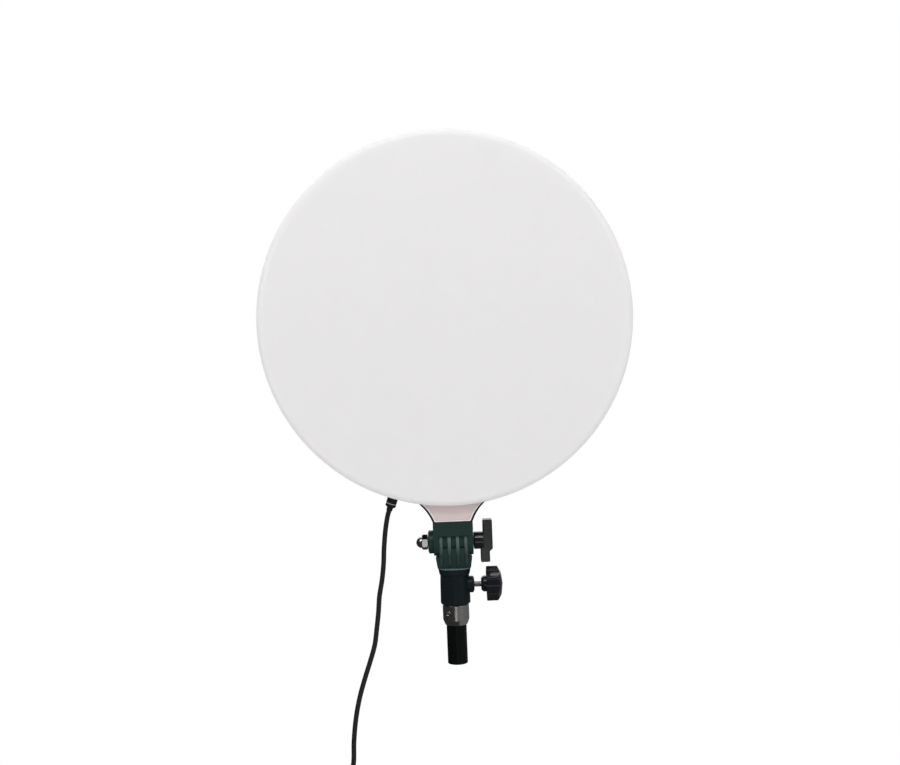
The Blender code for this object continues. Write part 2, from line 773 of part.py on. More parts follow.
def clamp_knob(carrier):
    """The star knob and its steel screw, which bears on the spigot's groove."""
    tip = SPIGOT_GROOVE_RADIUS + GAP
    hole_end = STAR_HUB_START + STAR_SOCKET_DEPTH
    screw = rod("screw", (tip, 0, CLAMP_Z), (hole_end - GAP, 0, CLAMP_Z), CLAMP_SCREW_RADIUS)
    keep(screw, "clamp_screw", STEEL, carrier)
    outline = star_outline(STAR_RADIUS, STAR_LOBE_DEPTH, STAR_LOBES, STAR_POINTS)
    knob = across(plate("star", [outline], STAR_END - STAR_START), (STAR_START + STAR_END) / 2)
    knob.location.z = CLAMP_Z
    crown = STAR_END - STAR_START
    shape = [(0, 0), (STAR_RADIUS - STAR_EDGE, 0), (STAR_RADIUS, STAR_EDGE), (STAR_RADIUS, STAR_RIM_END - STAR_START)]
    shape += [(STAR_SHOULDER, crown - STAR_SHOULDER_DROP), (0, crown)]
    boolean(knob, turned("star_crown", shape, (STAR_START, 0, CLAMP_Z), (1, 0, 0)), "INTERSECT")
    hub = rod("star_hub", (STAR_HUB_START, 0, CLAMP_Z), (STAR_START + OVERRUN, 0, CLAMP_Z), STAR_HUB_RADIUS)
    hole_start = (STAR_HUB_START - OVERRUN, 0, CLAMP_Z)
    hole = rod("star_hole", hole_start, (hole_end, 0, CLAMP_Z), CLAMP_SCREW_RADIUS + GAP)
    keep(cut(join(knob, hub), hole), "star_knob", BLACK_KNOB, carrier)


def neck_knuckle(carrier):
    """The knuckle under the head: block, tongue, three fingers, two cheeks, front lip and nut boss."""
    half = KNUCKLE_HALF_WIDTH
    deep = NECK_HALF_DEPTH
    body = block("knuckle_block", (-half, -deep, BLOCK_BOTTOM), (half, deep, BLOCK_TOP))
    tongue_half = half - NECK_WALL - GAP
    tongue_front = deep - PLATE_RECESS - PLATE_THICKNESS - GAP
    tongue = block(
        "knuckle_tongue",
        (-tongue_half, -tongue_front, BLOCK_TOP - OVERRUN),
        (tongue_half, PAN_INSIDE - GAP, BLOCK_TOP + TONGUE_LENGTH),
    )
    root = BLOCK_BOTTOM + OVERRUN
    lip = block("knuckle_lip", (-half, -deep, TILT_Z + LIP_RISE), (half, LIP_WALL - deep, root))
    join(body, tongue, lip)
    for place in (-2, 0, 2):
        outline = arc((0, TILT_Z), HEAD_LOBE, 180, 360, 12) + [(HEAD_LOBE, root), (-HEAD_LOBE, root)]
        join(body, across(plate("head_finger", [outline], HEAD_FINGER), place * FINGER_PITCH))
    cheek_width = half - CHEEK_START
    for side in (-1, 1):
        outline = arc((0, TILT_Z), CHEEK_LOBE, 180, 360, 16) + [(deep, root), (-deep, root)]
        join(body, across(plate("cheek", [outline], cheek_width), side * (half + CHEEK_START) / 2))
    boss = rod("nut_boss", (-half - NUT_BOSS_LENGTH, 0, TILT_Z), (OVERRUN - half, 0, TILT_Z), NUT_BOSS_RADIUS)
    join(body, boss)
    reach = half + NUT_BOSS_LENGTH + OVERRUN
    outside = (half + OVERRUN, 0, TILT_Z)
    pivot_hole = rod("knuckle_hole", (-reach, 0, TILT_Z), outside, BOLT_HOLE)
    seat_floor = (half - WASHER_THICKNESS - GAP, 0, TILT_Z)
    washer_seat = rod("washer_seat", seat_floor, outside, WASHER_RADIUS + GAP)
    pilot_end = NECK_HALF_DEPTH - NECK_SCREW_LENGTH
    pilots = []
    for side in (-1, 1):
        x, z = side * NECK_SCREW_SPREAD, TILT_Z + NECK_SCREW_RISE
        pilots.append(rod("pilot", (x, pilot_end, z), (x, deep + OVERRUN, z), SCREW_RADIUS + GAP, SMALL_STEPS))
    cut(body, pivot_hole, washer_seat, merged("neck_pilots", pilots))
    keep(body, "neck_knuckle", DARK_NYLON, carrier)
    washer = turned(
        "washer",
        [
            (WASHER_RADIUS, WASHER_THICKNESS),
            (WASHER_RADIUS, 0),
            (BOLT_HOLE, 0),
            (BOLT_HOLE, WASHER_THICKNESS),
        ],
        (half - WASHER_THICKNESS, 0, TILT_Z),
        (1, 0, 0),
    )
    keep(washer, "handle_washer", STEEL, carrier)


def cap_nut(carrier):
    """The domed nut on the left end of the tilt bolt."""
    start = -KNUCKLE_HALF_WIDTH - NUT_BOSS_LENGTH - GAP
    corner = NUT_ACROSS_FLATS / sqrt(3)
    hexagon = rod("nut_hex", (start - NUT_HEX_LENGTH, 0, TILT_Z), (start, 0, TILT_Z), corner, 6)
    crown = [(0, NUT_DOME_RADIUS)]
    crown += reversed(arc((0, 0), NUT_DOME_RADIUS, 0, 80, 6))
    crown += [(NUT_DOME_RADIUS, -OVERRUN), (0, -OVERRUN)]
    dome = turned("nut_dome", crown, (start - NUT_HEX_LENGTH, 0, TILT_Z), (-1, 0, 0))
    hole_end = start - NUT_HEX_LENGTH - NUT_HOLE_RISE
    hole = rod("nut_hole", (hole_end, 0, TILT_Z), (start + OVERRUN, 0, TILT_Z), BOLT_HOLE)
    keep(cut(join(hexagon, dome), hole), "cap_nut", CHROME, carrier)
    return hole_end


def tilt_handle(carrier, bolt_start):
    """The T handle and the bolt moulded into it, which is the hinge's pin."""
    hub_end = HANDLE_START + HANDLE_HUB_LENGTH
    bolt_end = hub_end - GAP
    bolt = rod("bolt", (bolt_start + GAP, 0, TILT_Z), (bolt_end, 0, TILT_Z), BOLT_RADIUS)
    keep(bolt, "tilt_bolt", STEEL, carrier)
    wings = [
        (UPPER_WING_START, UPPER_WING_REACH),
        (UPPER_WING_START, WING_WAIST),
        (LOWER_WING_START, -WING_STEP),
        (LOWER_WING_START, -LOWER_WING_REACH),
        (LOWER_WING_END, -LOWER_WING_REACH),
        (LOWER_WING_END, -WING_STEP - WING_SLOPE),
        (UPPER_WING_END, -WING_STEP + WING_SLOPE),
        (UPPER_WING_END, UPPER_WING_REACH),
    ]
    bar = upright(plate("wings", [wings], HANDLE_THICKNESS, WING_EDGE), 0, 0, TILT_Z)
    sunk = (UPPER_WING_START + HUB_SINK, 0, TILT_Z)
    hub = rod("handle_hub", (HANDLE_START, 0, TILT_Z), sunk, HANDLE_HUB_RADIUS)
    hole = rod("handle_hole", (HANDLE_START - OVERRUN, 0, TILT_Z), (hub_end, 0, TILT_Z), BOLT_HOLE)
    keep(cut(join(bar, hub), hole), "t_handle", BLACK_KNOB, carrier)


def front_cover(carrier):
    """The milky diffuser: a shallow dish that wraps the edge, with no bezel."""

    def outside(radius):
        return COVER_FRONT - COVER_DOME * (radius / COVER_RADIUS) ** 2

    knee = COVER_RADIUS - COVER_CORNER
    half = knee / 2
    corner = (knee, outside(knee) - COVER_CORNER)
    inner = COVER_RADIUS - COVER_WALL
    profile = [(0, outside(0)), (half, outside(half))]
    profile += reversed(arc(corner, COVER_CORNER, 0, 90, 4))
    profile += [(COVER_RADIUS, COVER_SKIRT), (inner, COVER_SKIRT)]
    profile += arc(corner, COVER_CORNER - COVER_WALL, 0, 90, 2)
    profile += [(half, outside(half) - COVER_WALL), (0, outside(0) - COVER_WALL)]
    cover = turned("cover", profile, (0, 0, DISC_Z), (0, -1, 0), DISC_STEPS)
    keep(cover, "front_cover", MILKY_ACRYLIC, carrier)


def neck_half_width(rise):
    """Half the neck's outside width at a height above its bottom: an arc that starts at a slant."""
    across, along = NECK_FLARE * cos(NECK_FLARE_START), NECK_FLARE * sin(NECK_FLARE_START)
    return KNUCKLE_HALF_WIDTH + across - sqrt(NECK_FLARE**2 - (rise + along) ** 2)


def neck_outline(inset, top):
    """The neck's (X, Z) outline, drawn in by a wall and closed at a height."""
    right = []
    for k in range(9):
        rise = NECK_FLARE_RISE * k / 8
        right.append((neck_half_width(rise) - inset, NECK_BOTTOM + rise))
    knee = right[-1]
    slope = (knee[0] - right[-2][0]) / (knee[1] - right[-2][1])
    if top > knee[1]:
        right.append((knee[0] + slope * (top - knee[1]), top))
    right = [point for point in right if point[1] <= top]
    return right + [(-x, z) for x, z in reversed(right)]


def jack_line(distance):
    """A point on the jack's axis, at a distance from the disc's centre."""
    return Vector((-sin(JACK_ANGLE) * distance, JACK_BACK, DISC_Z - cos(JACK_ANGLE) * distance))


def pillar_places():
    """The (X, Z) places of the housing's screws."""
    for k in range(PILLAR_COUNT):
        angle = tau * k / PILLAR_COUNT
        yield PILLAR_CIRCLE * sin(angle), DISC_Z - PILLAR_CIRCLE * cos(angle)


def pan_profile():
    """The pan's (radius, height forward) profile, from the back's outside round the rim to its inside."""
    back = -NECK_HALF_DEPTH
    shoulder = COVER_RADIUS - SHOULDER_LIP
    shoulder_front = COVER_SKIRT - GAP
    corner = (PAN_RADIUS - PAN_CORNER, back + PAN_CORNER)
    inner_rim = RIM_RADIUS - HOUSING_WALL
    profile = [(0, -PAN_INSIDE)]
    profile += arc(corner, PAN_CORNER - HOUSING_WALL, -90, 0, 2)
    profile += [
        (PAN_RADIUS - HOUSING_WALL, PAN_TAPER_DEPTH),
        (inner_rim, shoulder_front - SHOULDER_DEPTH),
        (inner_rim, RIM_FRONT),
        (RIM_RADIUS, RIM_FRONT),
        (RIM_RADIUS, shoulder_front),
        (shoulder, shoulder_front),
        (shoulder, shoulder_front - SHOULDER_DEPTH),
        (PAN_RADIUS, PAN_TAPER_DEPTH),
    ]
    profile += reversed(arc(corner, PAN_CORNER, -90, 0, 4))
    return profile + [(0, back)]


def housing_neck(pan):
    """Join the flared neck to the pan, and open it at the front for its plate and below for the tongue."""
    deep = NECK_HALF_DEPTH
    top = DISC_Z - PAN_RADIUS + 2 * PAN_CORNER
    neck_depth = 2 * deep - NECK_BACK_STEP
    neck = upright(plate("neck", [neck_outline(0, top)], neck_depth), neck_depth / 2 - deep)
    rim_clear = COVER_SKIRT - GAP
    step = rim_clear - NECK_SHOULDER_STEP
    beyond = (0, -deep - OVERRUN, DISC_Z)
    round_cut = rod("cover_clearance", (0, -step, DISC_Z), beyond, COVER_RADIUS + GAP, DISC_STEPS)
    mid_wall = HOUSING_WALL / 2
    inside = rod("pan_inside", (0, PAN_INSIDE + mid_wall, DISC_Z), beyond, PAN_RADIUS - mid_wall, DISC_STEPS)
    cut(neck, round_cut, inside)
    join(pan, neck)
    front_depth = deep + OVERRUN - rim_clear
    front_top = DISC_Z - COVER_RADIUS + NECK_FRONT_REACH
    front = plate("neck_front", [neck_outline(NECK_WALL, front_top)], front_depth)
    upright(front, -rim_clear - front_depth / 2)
    hollow_depth = rim_clear + PAN_INSIDE
    hollow_top = DISC_Z - COVER_RADIUS - GAP
    hollow = plate("neck_hollow", [neck_outline(NECK_WALL, hollow_top)], hollow_depth + 2 * HAIR)
    upright(hollow, PAN_INSIDE - hollow_depth / 2 - HAIR)
    opening = block(
        "neck_opening",
        (NECK_WALL - KNUCKLE_HALF_WIDTH, -deep - OVERRUN, NECK_BOTTOM - OVERRUN),
        (KNUCKLE_HALF_WIDTH - NECK_WALL, PAN_INSIDE, NECK_BOTTOM + OVERRUN),
    )
    passage = block(
        "wire_passage",
        (-PASSAGE_HALF_WIDTH, -PAN_TAPER_DEPTH, hollow_top - OVERRUN),
        (PASSAGE_HALF_WIDTH, PAN_INSIDE - OVERRUN, DISC_Z - PAN_RADIUS + HOUSING_WALL + 2 * OVERRUN),
    )
    cut(pan, front, hollow, opening, passage)


def rear_housing(carrier):
    """The moulded pan with its neck, control box, screw pillars, vents and holes."""
    pan = turned("pan", pan_profile(), (0, 0, DISC_Z), (0, -1, 0), DISC_STEPS)
    housing_neck(pan)
    outline = rounded_rectangle(BOX_WIDTH, BOX_HEIGHT, BOX_CORNER)
    rise = BOX_DEPTH + HOUSING_WALL / 2
    box = upright(plate("control_box", [outline], rise, BOX_EDGE), BOX_FACE - rise / 2, 0, BOX_Z)
    inner = rounded_rectangle(
        BOX_WIDTH - 2 * HOUSING_WALL, BOX_HEIGHT - 2 * HOUSING_WALL, BOX_CORNER - HOUSING_WALL
    )
    room = BOX_INNER_FACE - PAN_INSIDE + OVERRUN
    hollow = upright(plate("box_room", [inner], room), BOX_INNER_FACE - room / 2, 0, BOX_Z)
    pillars, holes, seats = [], [], []
    pillar_front = GAP - BOARD_FORWARD
    seat_floor = NECK_HALF_DEPTH - SCREW_HEAD_HEIGHT
    for x, z in pillar_places():
        root, outside = (x, PAN_INSIDE + OVERRUN, z), (x, NECK_HALF_DEPTH + OVERRUN, z)
        pillars.append(rod("pillar", (x, pillar_front, z), root, PILLAR_RADIUS, SMALL_STEPS))
        inside = (x, pillar_front - OVERRUN, z)
        holes.append(rod("screw_hole", inside, outside, SCREW_RADIUS + GAP, SCREW_STEPS))
        seats.append(rod("screw_seat", (x, seat_floor, z), outside, SCREW_HEAD_RADIUS + GAP, SMALL_STEPS))
    join(pan, box, merged("pillars", pillars))
    cut(pan, hollow, merged("screw_holes", holes), merged("screw_seats", seats))
    cut(pan, vents(), control_holes())
    inside, outside = jack_line(PAN_RADIUS - JACK_CUT), jack_line(PAN_RADIUS + JACK_CUT)
    jack_hole = rod("jack_hole", inside, outside, SLEEVE_RADIUS + GAP)
    neck_holes = []
    for side in (-1, 1):
        x, z = side * NECK_SCREW_SPREAD, TILT_Z + NECK_SCREW_RISE
        mouth = (x, NECK_HALF_DEPTH + OVERRUN, z)
        neck_holes.append(rod("neck_hole", (x, 0, z), mouth, SCREW_RADIUS + GAP, SMALL_STEPS))
    cut(pan, jack_hole, merged("neck_holes", neck_holes))
    keep(pan, "rear_housing", BLACK_ABS, carrier)


def vents():
    """Two columns of slots through the back, above the middle."""
    slots = []
    outline = rounded_rectangle(VENT_LENGTH, VENT_WIDTH, VENT_CORNER, 1)
    for side in (-1, 1):
        for k in range(VENT_COUNT):
            slot = plate("vent", [outline], 3 * HOUSING_WALL)
            z = DISC_Z + VENT_RISE + (k - (VENT_COUNT - 1) / 2) * VENT_PITCH
            slots.append(upright(slot, NECK_HALF_DEPTH, side * VENT_SPREAD, z))
    return merged("vents", slots)


def control_holes():
    """Holes through the control box for the two bushings and the switch."""
    tools = []
    for side in (-1, 1):
        x = side * DIAL_SPREAD
        inside, outside = (x, BOX_INNER_FACE - OVERRUN, BOX_Z), (x, BOX_FACE + OVERRUN, BOX_Z)
        tools.append(rod("dial_hole", inside, outside, BUSHING_RADIUS + GAP, BORE_STEPS))
    width, height = SWITCH_WIDTH / 2 + GAP, SWITCH_HEIGHT / 2 + GAP
    low, high = (-width, BOX_INNER_FACE - OVERRUN, BOX_Z - height), (width, BOX_FACE + OVERRUN, BOX_Z + height)
    tools.append(block("switch_hole", low, high))
    return merged("control_holes", tools)


def neck_cover(carrier):
    """The white plate set into the front of the neck."""
    front = NECK_HALF_DEPTH - PLATE_RECESS
    outline = neck_outline(NECK_WALL + GAP, DISC_Z - COVER_RADIUS + PLATE_REACH)
    cover = upright(plate("plate", [outline], PLATE_THICKNESS), PLATE_THICKNESS / 2 - front)
    behind, before = (0, 2 * PLATE_THICKNESS - front, DISC_Z), (0, -front - OVERRUN, DISC_Z)
    clearance = rod("plate_clearance", behind, before, COVER_RADIUS + GAP, DISC_STEPS)
    keep(cut(cover, clearance), "neck_cover", WHITE_ABS, carrier)


def screw(name, head, direction, length, carrier):
    """A pan head screw whose head's top is at a place and points in a direction."""
    profile = [
        (0, 0),
        (SCREW_CROWN_RADIUS, 0),
        (SCREW_HEAD_RADIUS, -SCREW_CROWN_DROP),
        (SCREW_HEAD_RADIUS, GAP - SCREW_HEAD_HEIGHT),
        (SCREW_RADIUS, GAP - SCREW_HEAD_HEIGHT),
        (SCREW_RADIUS, -length),
        (0, -length),
    ]
    shape = turned(name, profile, head, direction, SCREW_STEPS)
    keep(shape, name, STEEL, carrier)


def screws(carrier):
    """Screws through the pan's pillars to the LED board, and two into the knuckle's tongue."""
    length = NECK_HALF_DEPTH + BOARD_FORWARD - SCREW_TIP_SHORT
    for k, (x, z) in enumerate(pillar_places()):
        screw(f"housing_screw_{k + 1}", (x, NECK_HALF_DEPTH, z), (0, 1, 0), length, carrier)
    for side, name in ((-1, "neck_screw_left"), (1, "neck_screw_right")):
        head = (side * NECK_SCREW_SPREAD, NECK_HALF_DEPTH + SCREW_HEAD_HEIGHT, TILT_Z + NECK_SCREW_RISE)
        screw(name, head, (0, 1, 0), NECK_SCREW_LENGTH, carrier)


def led_board(carrier):
    """The round aluminium board with rings of LED packages on its front."""
    board = turned(
        "board",
        [(0, BOARD_THICKNESS), (BOARD_RADIUS, BOARD_THICKNESS), (BOARD_RADIUS, 0), (0, 0)],
        (0, -BOARD_FORWARD, DISC_Z),
        (0, -1, 0),
        BOARD_STEPS,
    )
    front = BOARD_FORWARD + BOARD_THICKNESS
    packages = []
    half = LED_SIZE / 2
    for radius, count in LED_RINGS:
        for k in range(count):
            angle = tau * k / count
            x, z = radius * sin(angle), DISC_Z + radius * cos(angle)
            low, high = (x - half, -front - LED_HEIGHT, z - half), (x + half, SINK - front, z + half)
            packages.append(block("led", low, high))
    keep(join(board, merged("led_packages", packages)), "led_board", ALUMINIUM, carrier)


def reflector_ring(carrier):
    """The white ring that leans out from the board's edge towards the cover's corner."""
    foot = BOARD_FORWARD + BOARD_THICKNESS + GAP
    wall = REFLECTOR_WALL
    profile = [
        (BOARD_RADIUS, foot),
        (BOARD_RADIUS - REFLECTOR_FOOT, foot),
        (BOARD_RADIUS - REFLECTOR_FOOT, foot + wall),
        (BOARD_RADIUS - wall, foot + wall),
        (REFLECTOR_RADIUS - wall, REFLECTOR_FORWARD),
        (REFLECTOR_RADIUS, REFLECTOR_FORWARD),
    ]
    ring = turned("reflector", profile, (0, 0, DISC_Z), (0, -1, 0), BOARD_STEPS)
    keep(ring, "reflector_ring", WHITE_CARD, carrier)


def driver_board(carrier):
    """The driver's circuit board with its inductor, capacitors and chip, behind the control box."""
    back = DRIVER_BACK
    front = back - DRIVER_THICKNESS
    half_width, half_height = DRIVER_WIDTH / 2, DRIVER_HEIGHT / 2
    board = block("circuit", (-half_width, front, BOX_Z - half_height), (half_width, back, BOX_Z + half_height))
    rounds = [("inductor", INDUCTOR_PLACE, INDUCTOR_RADIUS, INDUCTOR_HEIGHT)]
    rounds += [("capacitor", place, CAPACITOR_RADIUS, CAPACITOR_HEIGHT) for place in CAPACITOR_PLACES]
    for name, (x, rise), radius, height in rounds:
        z = BOX_Z + rise
        join(board, rod(name, (x, front + SINK, z), (x, front - height, z), radius, BORE_STEPS))
    (x, rise), (wide, high) = CHIP_PLACE, CHIP_SIZE
    z = BOX_Z + rise
    low_corner = (x - wide / 2, front - CHIP_HEIGHT, z - high / 2)
    join(board, block("chip", low_corner, (x + wide / 2, front + SINK, z + high / 2)))
    keep(board, "driver_board", GREEN_BOARD, carrier)


def control(carrier, axis, side, name):
    """One dimmer: its potentiometer inside the box, and the shaft and dial that turn."""
    x = side * DIAL_SPREAD
    half = POT_SIZE / 2
    pot_back = BOX_INNER_FACE - GAP
    low, high = (x - half, pot_back - POT_DEPTH, BOX_Z - half), (x + half, pot_back, BOX_Z + half)
    pot = block("pot", low, high, POT_EDGE)
    bushing_end = BOX_FACE + BUSHING_STAND
    root, end = (x, pot_back - OVERRUN, BOX_Z), (x, bushing_end, BOX_Z)
    bushing = rod("bushing", root, end, BUSHING_RADIUS, BORE_STEPS)
    bore_start = pot_back - POT_DEPTH / 2
    beyond = (x, bushing_end + OVERRUN, BOX_Z)
    bore = rod("pot_bore", (x, bore_start, BOX_Z), beyond, SHAFT_RADIUS + GAP, BORE_STEPS)
    keep(cut(join(pot, bushing), bore), name + "_pot", STEEL, carrier)
    shaft_end = BOX_FACE + SHAFT_REACH
    shaft = rod("shaft", (x, bore_start + GAP, BOX_Z), (x, shaft_end, BOX_Z), SHAFT_RADIUS, BORE_STEPS)
    keep(shaft, name + "_shaft", ALUMINIUM, axis)
    dial_start = BOX_FACE + 2 * GAP
    outline = star_outline(DIAL_RADIUS, DIAL_FLUTE_DEPTH, DIAL_FLUTES, DIAL_POINTS)
    dial = upright(plate("dial", [outline], DIAL_LENGTH, DIAL_EDGE, 1), dial_start + DIAL_LENGTH / 2, x, BOX_Z)
    mouth = (x, dial_start - OVERRUN, BOX_Z)
    hole = rod("dial_bore", mouth, (x, shaft_end + GAP, BOX_Z), SHAFT_RADIUS + GAP, BORE_STEPS)
    well = rod("dial_well", mouth, (x, bushing_end + GAP, BOX_Z), BUSHING_RADIUS + 2 * GAP, BORE_STEPS)
    keep(cut(dial, hole, well), name + "_dial", BLACK_KNOB, axis)


def power_switch(carrier, axis):
    """The snap-in switch body and its rocker, which rests pressed at its lower end."""
    width, height = SWITCH_WIDTH / 2, SWITCH_HEIGHT / 2
    frame_back = BOX_FACE + GAP
    rim = SWITCH_FRAME + GAP
    low, high = (-width, DRIVER_BACK + GAP, BOX_Z - height), (width, frame_back + SINK, BOX_Z + height)
    body = block("switch", low, high)
    frame = block(
        "switch_frame",
        (-width - rim, frame_back, BOX_Z - height - rim),
        (width + rim, frame_back + SWITCH_FRAME_DEPTH, BOX_Z + height + rim),
        SWITCH_EDGE,
    )
    well_half_width = ROCKER_WIDTH / 2 + GAP
    well_half_height = ROCKER_HEIGHT / 2 + 2 * GAP
    well = block(
        "rocker_well",
        (-well_half_width, frame_back - ROCKER_KEEL - 3 * GAP, BOX_Z - well_half_height),
        (well_half_width, frame_back + SWITCH_FRAME_DEPTH + OVERRUN, BOX_Z + well_half_height),
    )
    keep(cut(join(body, frame), well), "switch_body", BLACK_ABS, carrier)
    half = ROCKER_HEIGHT / 2
    outline = [
        (-ROCKER_CREST, half),
        (-ROCKER_DIP, 0),
        (-ROCKER_CREST, -half),
        (ROCKER_DIP, ROCKER_LEAN - half),
        (ROCKER_KEEL, 0),
        (ROCKER_DIP, half - ROCKER_LEAN),
    ]
    outline = [(-y, z) for y, z in reversed(outline)]
    rocker = across(plate("rocker", [outline], ROCKER_WIDTH, ROCKER_EDGE), 0)
    rocker.matrix_world = (
        Matrix.Translation((0, frame_back, BOX_Z)) @ Matrix.Rotation(ROCKER_REST, 4, "X") @ rocker.matrix_world
    )
    keep(rocker, "power_rocker", BLACK_KNOB, axis)


def dc_jack(carrier):
    """The socket behind the rim's hole, bored for the plug's barrel."""
    mouth = PAN_RADIUS - GAP
    collar_back = PAN_RADIUS - HOUSING_WALL - JACK_SETBACK
    turn = Matrix.Rotation(-JACK_ANGLE, 4, "Y")
    half = JACK_WIDTH / 2
    body = block("jack", (-half, -half, -JACK_LENGTH / 2), (half, half, JACK_LENGTH / 2))
    body.matrix_world = Matrix.Translation(jack_line(collar_back - JACK_LENGTH / 2)) @ turn.inverted()
    sleeve = rod("sleeve", jack_line(collar_back - OVERRUN), jack_line(mouth), SLEEVE_RADIUS)
    bore_end = PAN_RADIUS - BARREL_LENGTH
    bore = rod("jack_bore", jack_line(bore_end), jack_line(mouth + OVERRUN), JACK_BORE, BORE_STEPS)
    keep(cut(join(body, sleeve), bore), "dc_jack", BLACK_KNOB, carrier)


def dc_plug(carrier):
    """The plug: barrel, moulded grip with its groove, and the short taper that the lead comes out of."""
    face = PAN_RADIUS + GAP
    grip_end = PLUG_GRIP
    end = grip_end + RELIEF_LENGTH
    groove = PLUG_RADIUS - PLUG_GROOVE_DEPTH
    profile = [
        (0, -BARREL_LENGTH),
        (BARREL_RADIUS, -BARREL_LENGTH),
        (BARREL_RADIUS, 0),
        (PLUG_RADIUS - PLUG_EDGE, 0),
        (PLUG_RADIUS, PLUG_EDGE),
        (PLUG_RADIUS, PLUG_GROOVE),
        (groove, PLUG_GROOVE),
        (groove, PLUG_GROOVE + PLUG_GROOVE_WIDTH),
        (PLUG_RADIUS, PLUG_GROOVE + PLUG_GROOVE_WIDTH),
        (PLUG_RADIUS, grip_end - PLUG_FOOT),
        (PLUG_RADIUS - PLUG_FOOT, grip_end),
        (RELIEF_RADIUS, grip_end),
        (RELIEF_END_RADIUS, end),
        (0, end),
    ]
    direction = jack_line(1) - jack_line(0)
    plug = turned("dc", profile, jack_line(face), direction, 16)
    keep(plug, "dc_plug", SOFT_PVC, carrier)
    return jack_line(face + end + CORD_GAP), direction


def coil_point(turn):
    """The lead's centre after so many turns: in and out again at a steady rate, a layer for each way."""
    layer = min(int(turn / COIL_LEG), COIL_LAYERS - 1)
    along = turn - layer * COIL_LEG
    depth = along if layer % 2 == 0 else COIL_LEG - along
    radius = COIL_OUTER_RADIUS - COIL_PITCH * depth
    height = 0.0
    for change in range(1, COIL_LAYERS):
        share = min(max((turn - change * COIL_LEG + 0.25) / 0.5, 0.0), 1.0)
        height += share * share * (3 - 2 * share)
    angle = COIL_START + tau * turn
    y = (height - (COIL_LAYERS - 1) / 2) * COIL_PITCH
    return Vector((COIL_CENTRE_X + radius * cos(angle), y, COIL_CENTRE_Z + radius * sin(angle)))


def coil_points():
    """The coil's whole path: a straight start, the turns and the straight tail."""
    count = round(COIL_TURNS * COIL_LOOP_POINTS)
    turns = [coil_point(COIL_TURNS * k / count) for k in range(count + 1)]
    into = (turns[1] - turns[0]).normalized()
    start = turns[0] - into * CORD_DIAMETER
    end = turns[-1] + Vector((0, 0, -TAIL_LENGTH))
    bend = turns[-1] + Vector((0, 0, -TAIL_LENGTH / 2))
    return [start] + turns + [bend, end], into


def least_gap(points):
    """The smallest gap between two stretches of the coil that lie more than half a turn apart."""
    least = 1.0
    apart = COIL_LOOP_POINTS // 2
    for k, a in enumerate(points):
        for b in points[k + apart :]:
            least = min(least, (a - b).length)
    return least - CORD_DIAMETER


def power_lead(carrier, exit_point, exit_direction):
    """The hanging lead, its coil and its tie. It returns the tail's lower end."""
    coil, into = coil_points()
    straight = Vector(exit_direction) * CORD_DIAMETER
    joint = coil[0] - into * CORD_GAP
    start, end = [exit_point, exit_point + straight], [joint - into * CORD_DIAMETER, joint]
    route = start + [Vector(place) for place in LEAD_ROUTE] + end
    lead_points = start + smooth_curve(route, 2.5 * CORD_DIAMETER)[2:-2] + end
    keep(cord("lead", lead_points, 2), "power_lead", SOFT_PVC, carrier)
    keep(cord("coil", coil, 1), "lead_coil", SOFT_PVC, carrier)
    print(f"coil's least gap to itself {least_gap(coil) * 1000:.2f} mm")
    print(f"lead {path_length(lead_points):.3f} m, coil and tail {path_length(coil):.3f} m")
    coil_tie(carrier)
    return coil[-1]


def coil_tie(carrier):
    """The strap round the bundle of turns, where the lead enters the coil."""
    outward = Vector((cos(TIE_ANGLE), 0, sin(TIE_ANGLE)))
    along = Vector((-sin(TIE_ANGLE), 0, cos(TIE_ANGLE)))
    first = (TIE_ANGLE - COIL_START) / tau
    centre = Vector((COIL_CENTRE_X, 0, COIL_CENTRE_Z))
    reaches = [
        (coil_point(first + k) - centre).dot(outward) for k in range(int(COIL_TURNS - first) + 1)
    ]
    radial = max(reaches) - min(reaches) + CORD_DIAMETER + 2 * TIE_CLEARANCE
    deep = (COIL_LAYERS - 1) * COIL_PITCH + CORD_DIAMETER + 2 * TIE_CLEARANCE
    middle = centre + outward * (max(reaches) + min(reaches)) / 2
    corner = CORD_RADIUS
    inside = rounded_rectangle(radial, deep, corner)
    outside = rounded_rectangle(radial + 2 * TIE_THICKNESS, deep + 2 * TIE_THICKNESS, corner + TIE_THICKNESS)
    tie = plate("tie", [outside, inside], TIE_WIDTH)
    side = along.cross(outward)
    tie.matrix_world = Matrix(
        (
            (outward.x, side.x, along.x, middle.x),
            (outward.y, side.y, along.y, middle.y),
            (outward.z, side.z, along.z, middle.z),
            (0, 0, 0, 1),
        )
    )
    keep(tie, "coil_tie", SOFT_PVC, carrier)


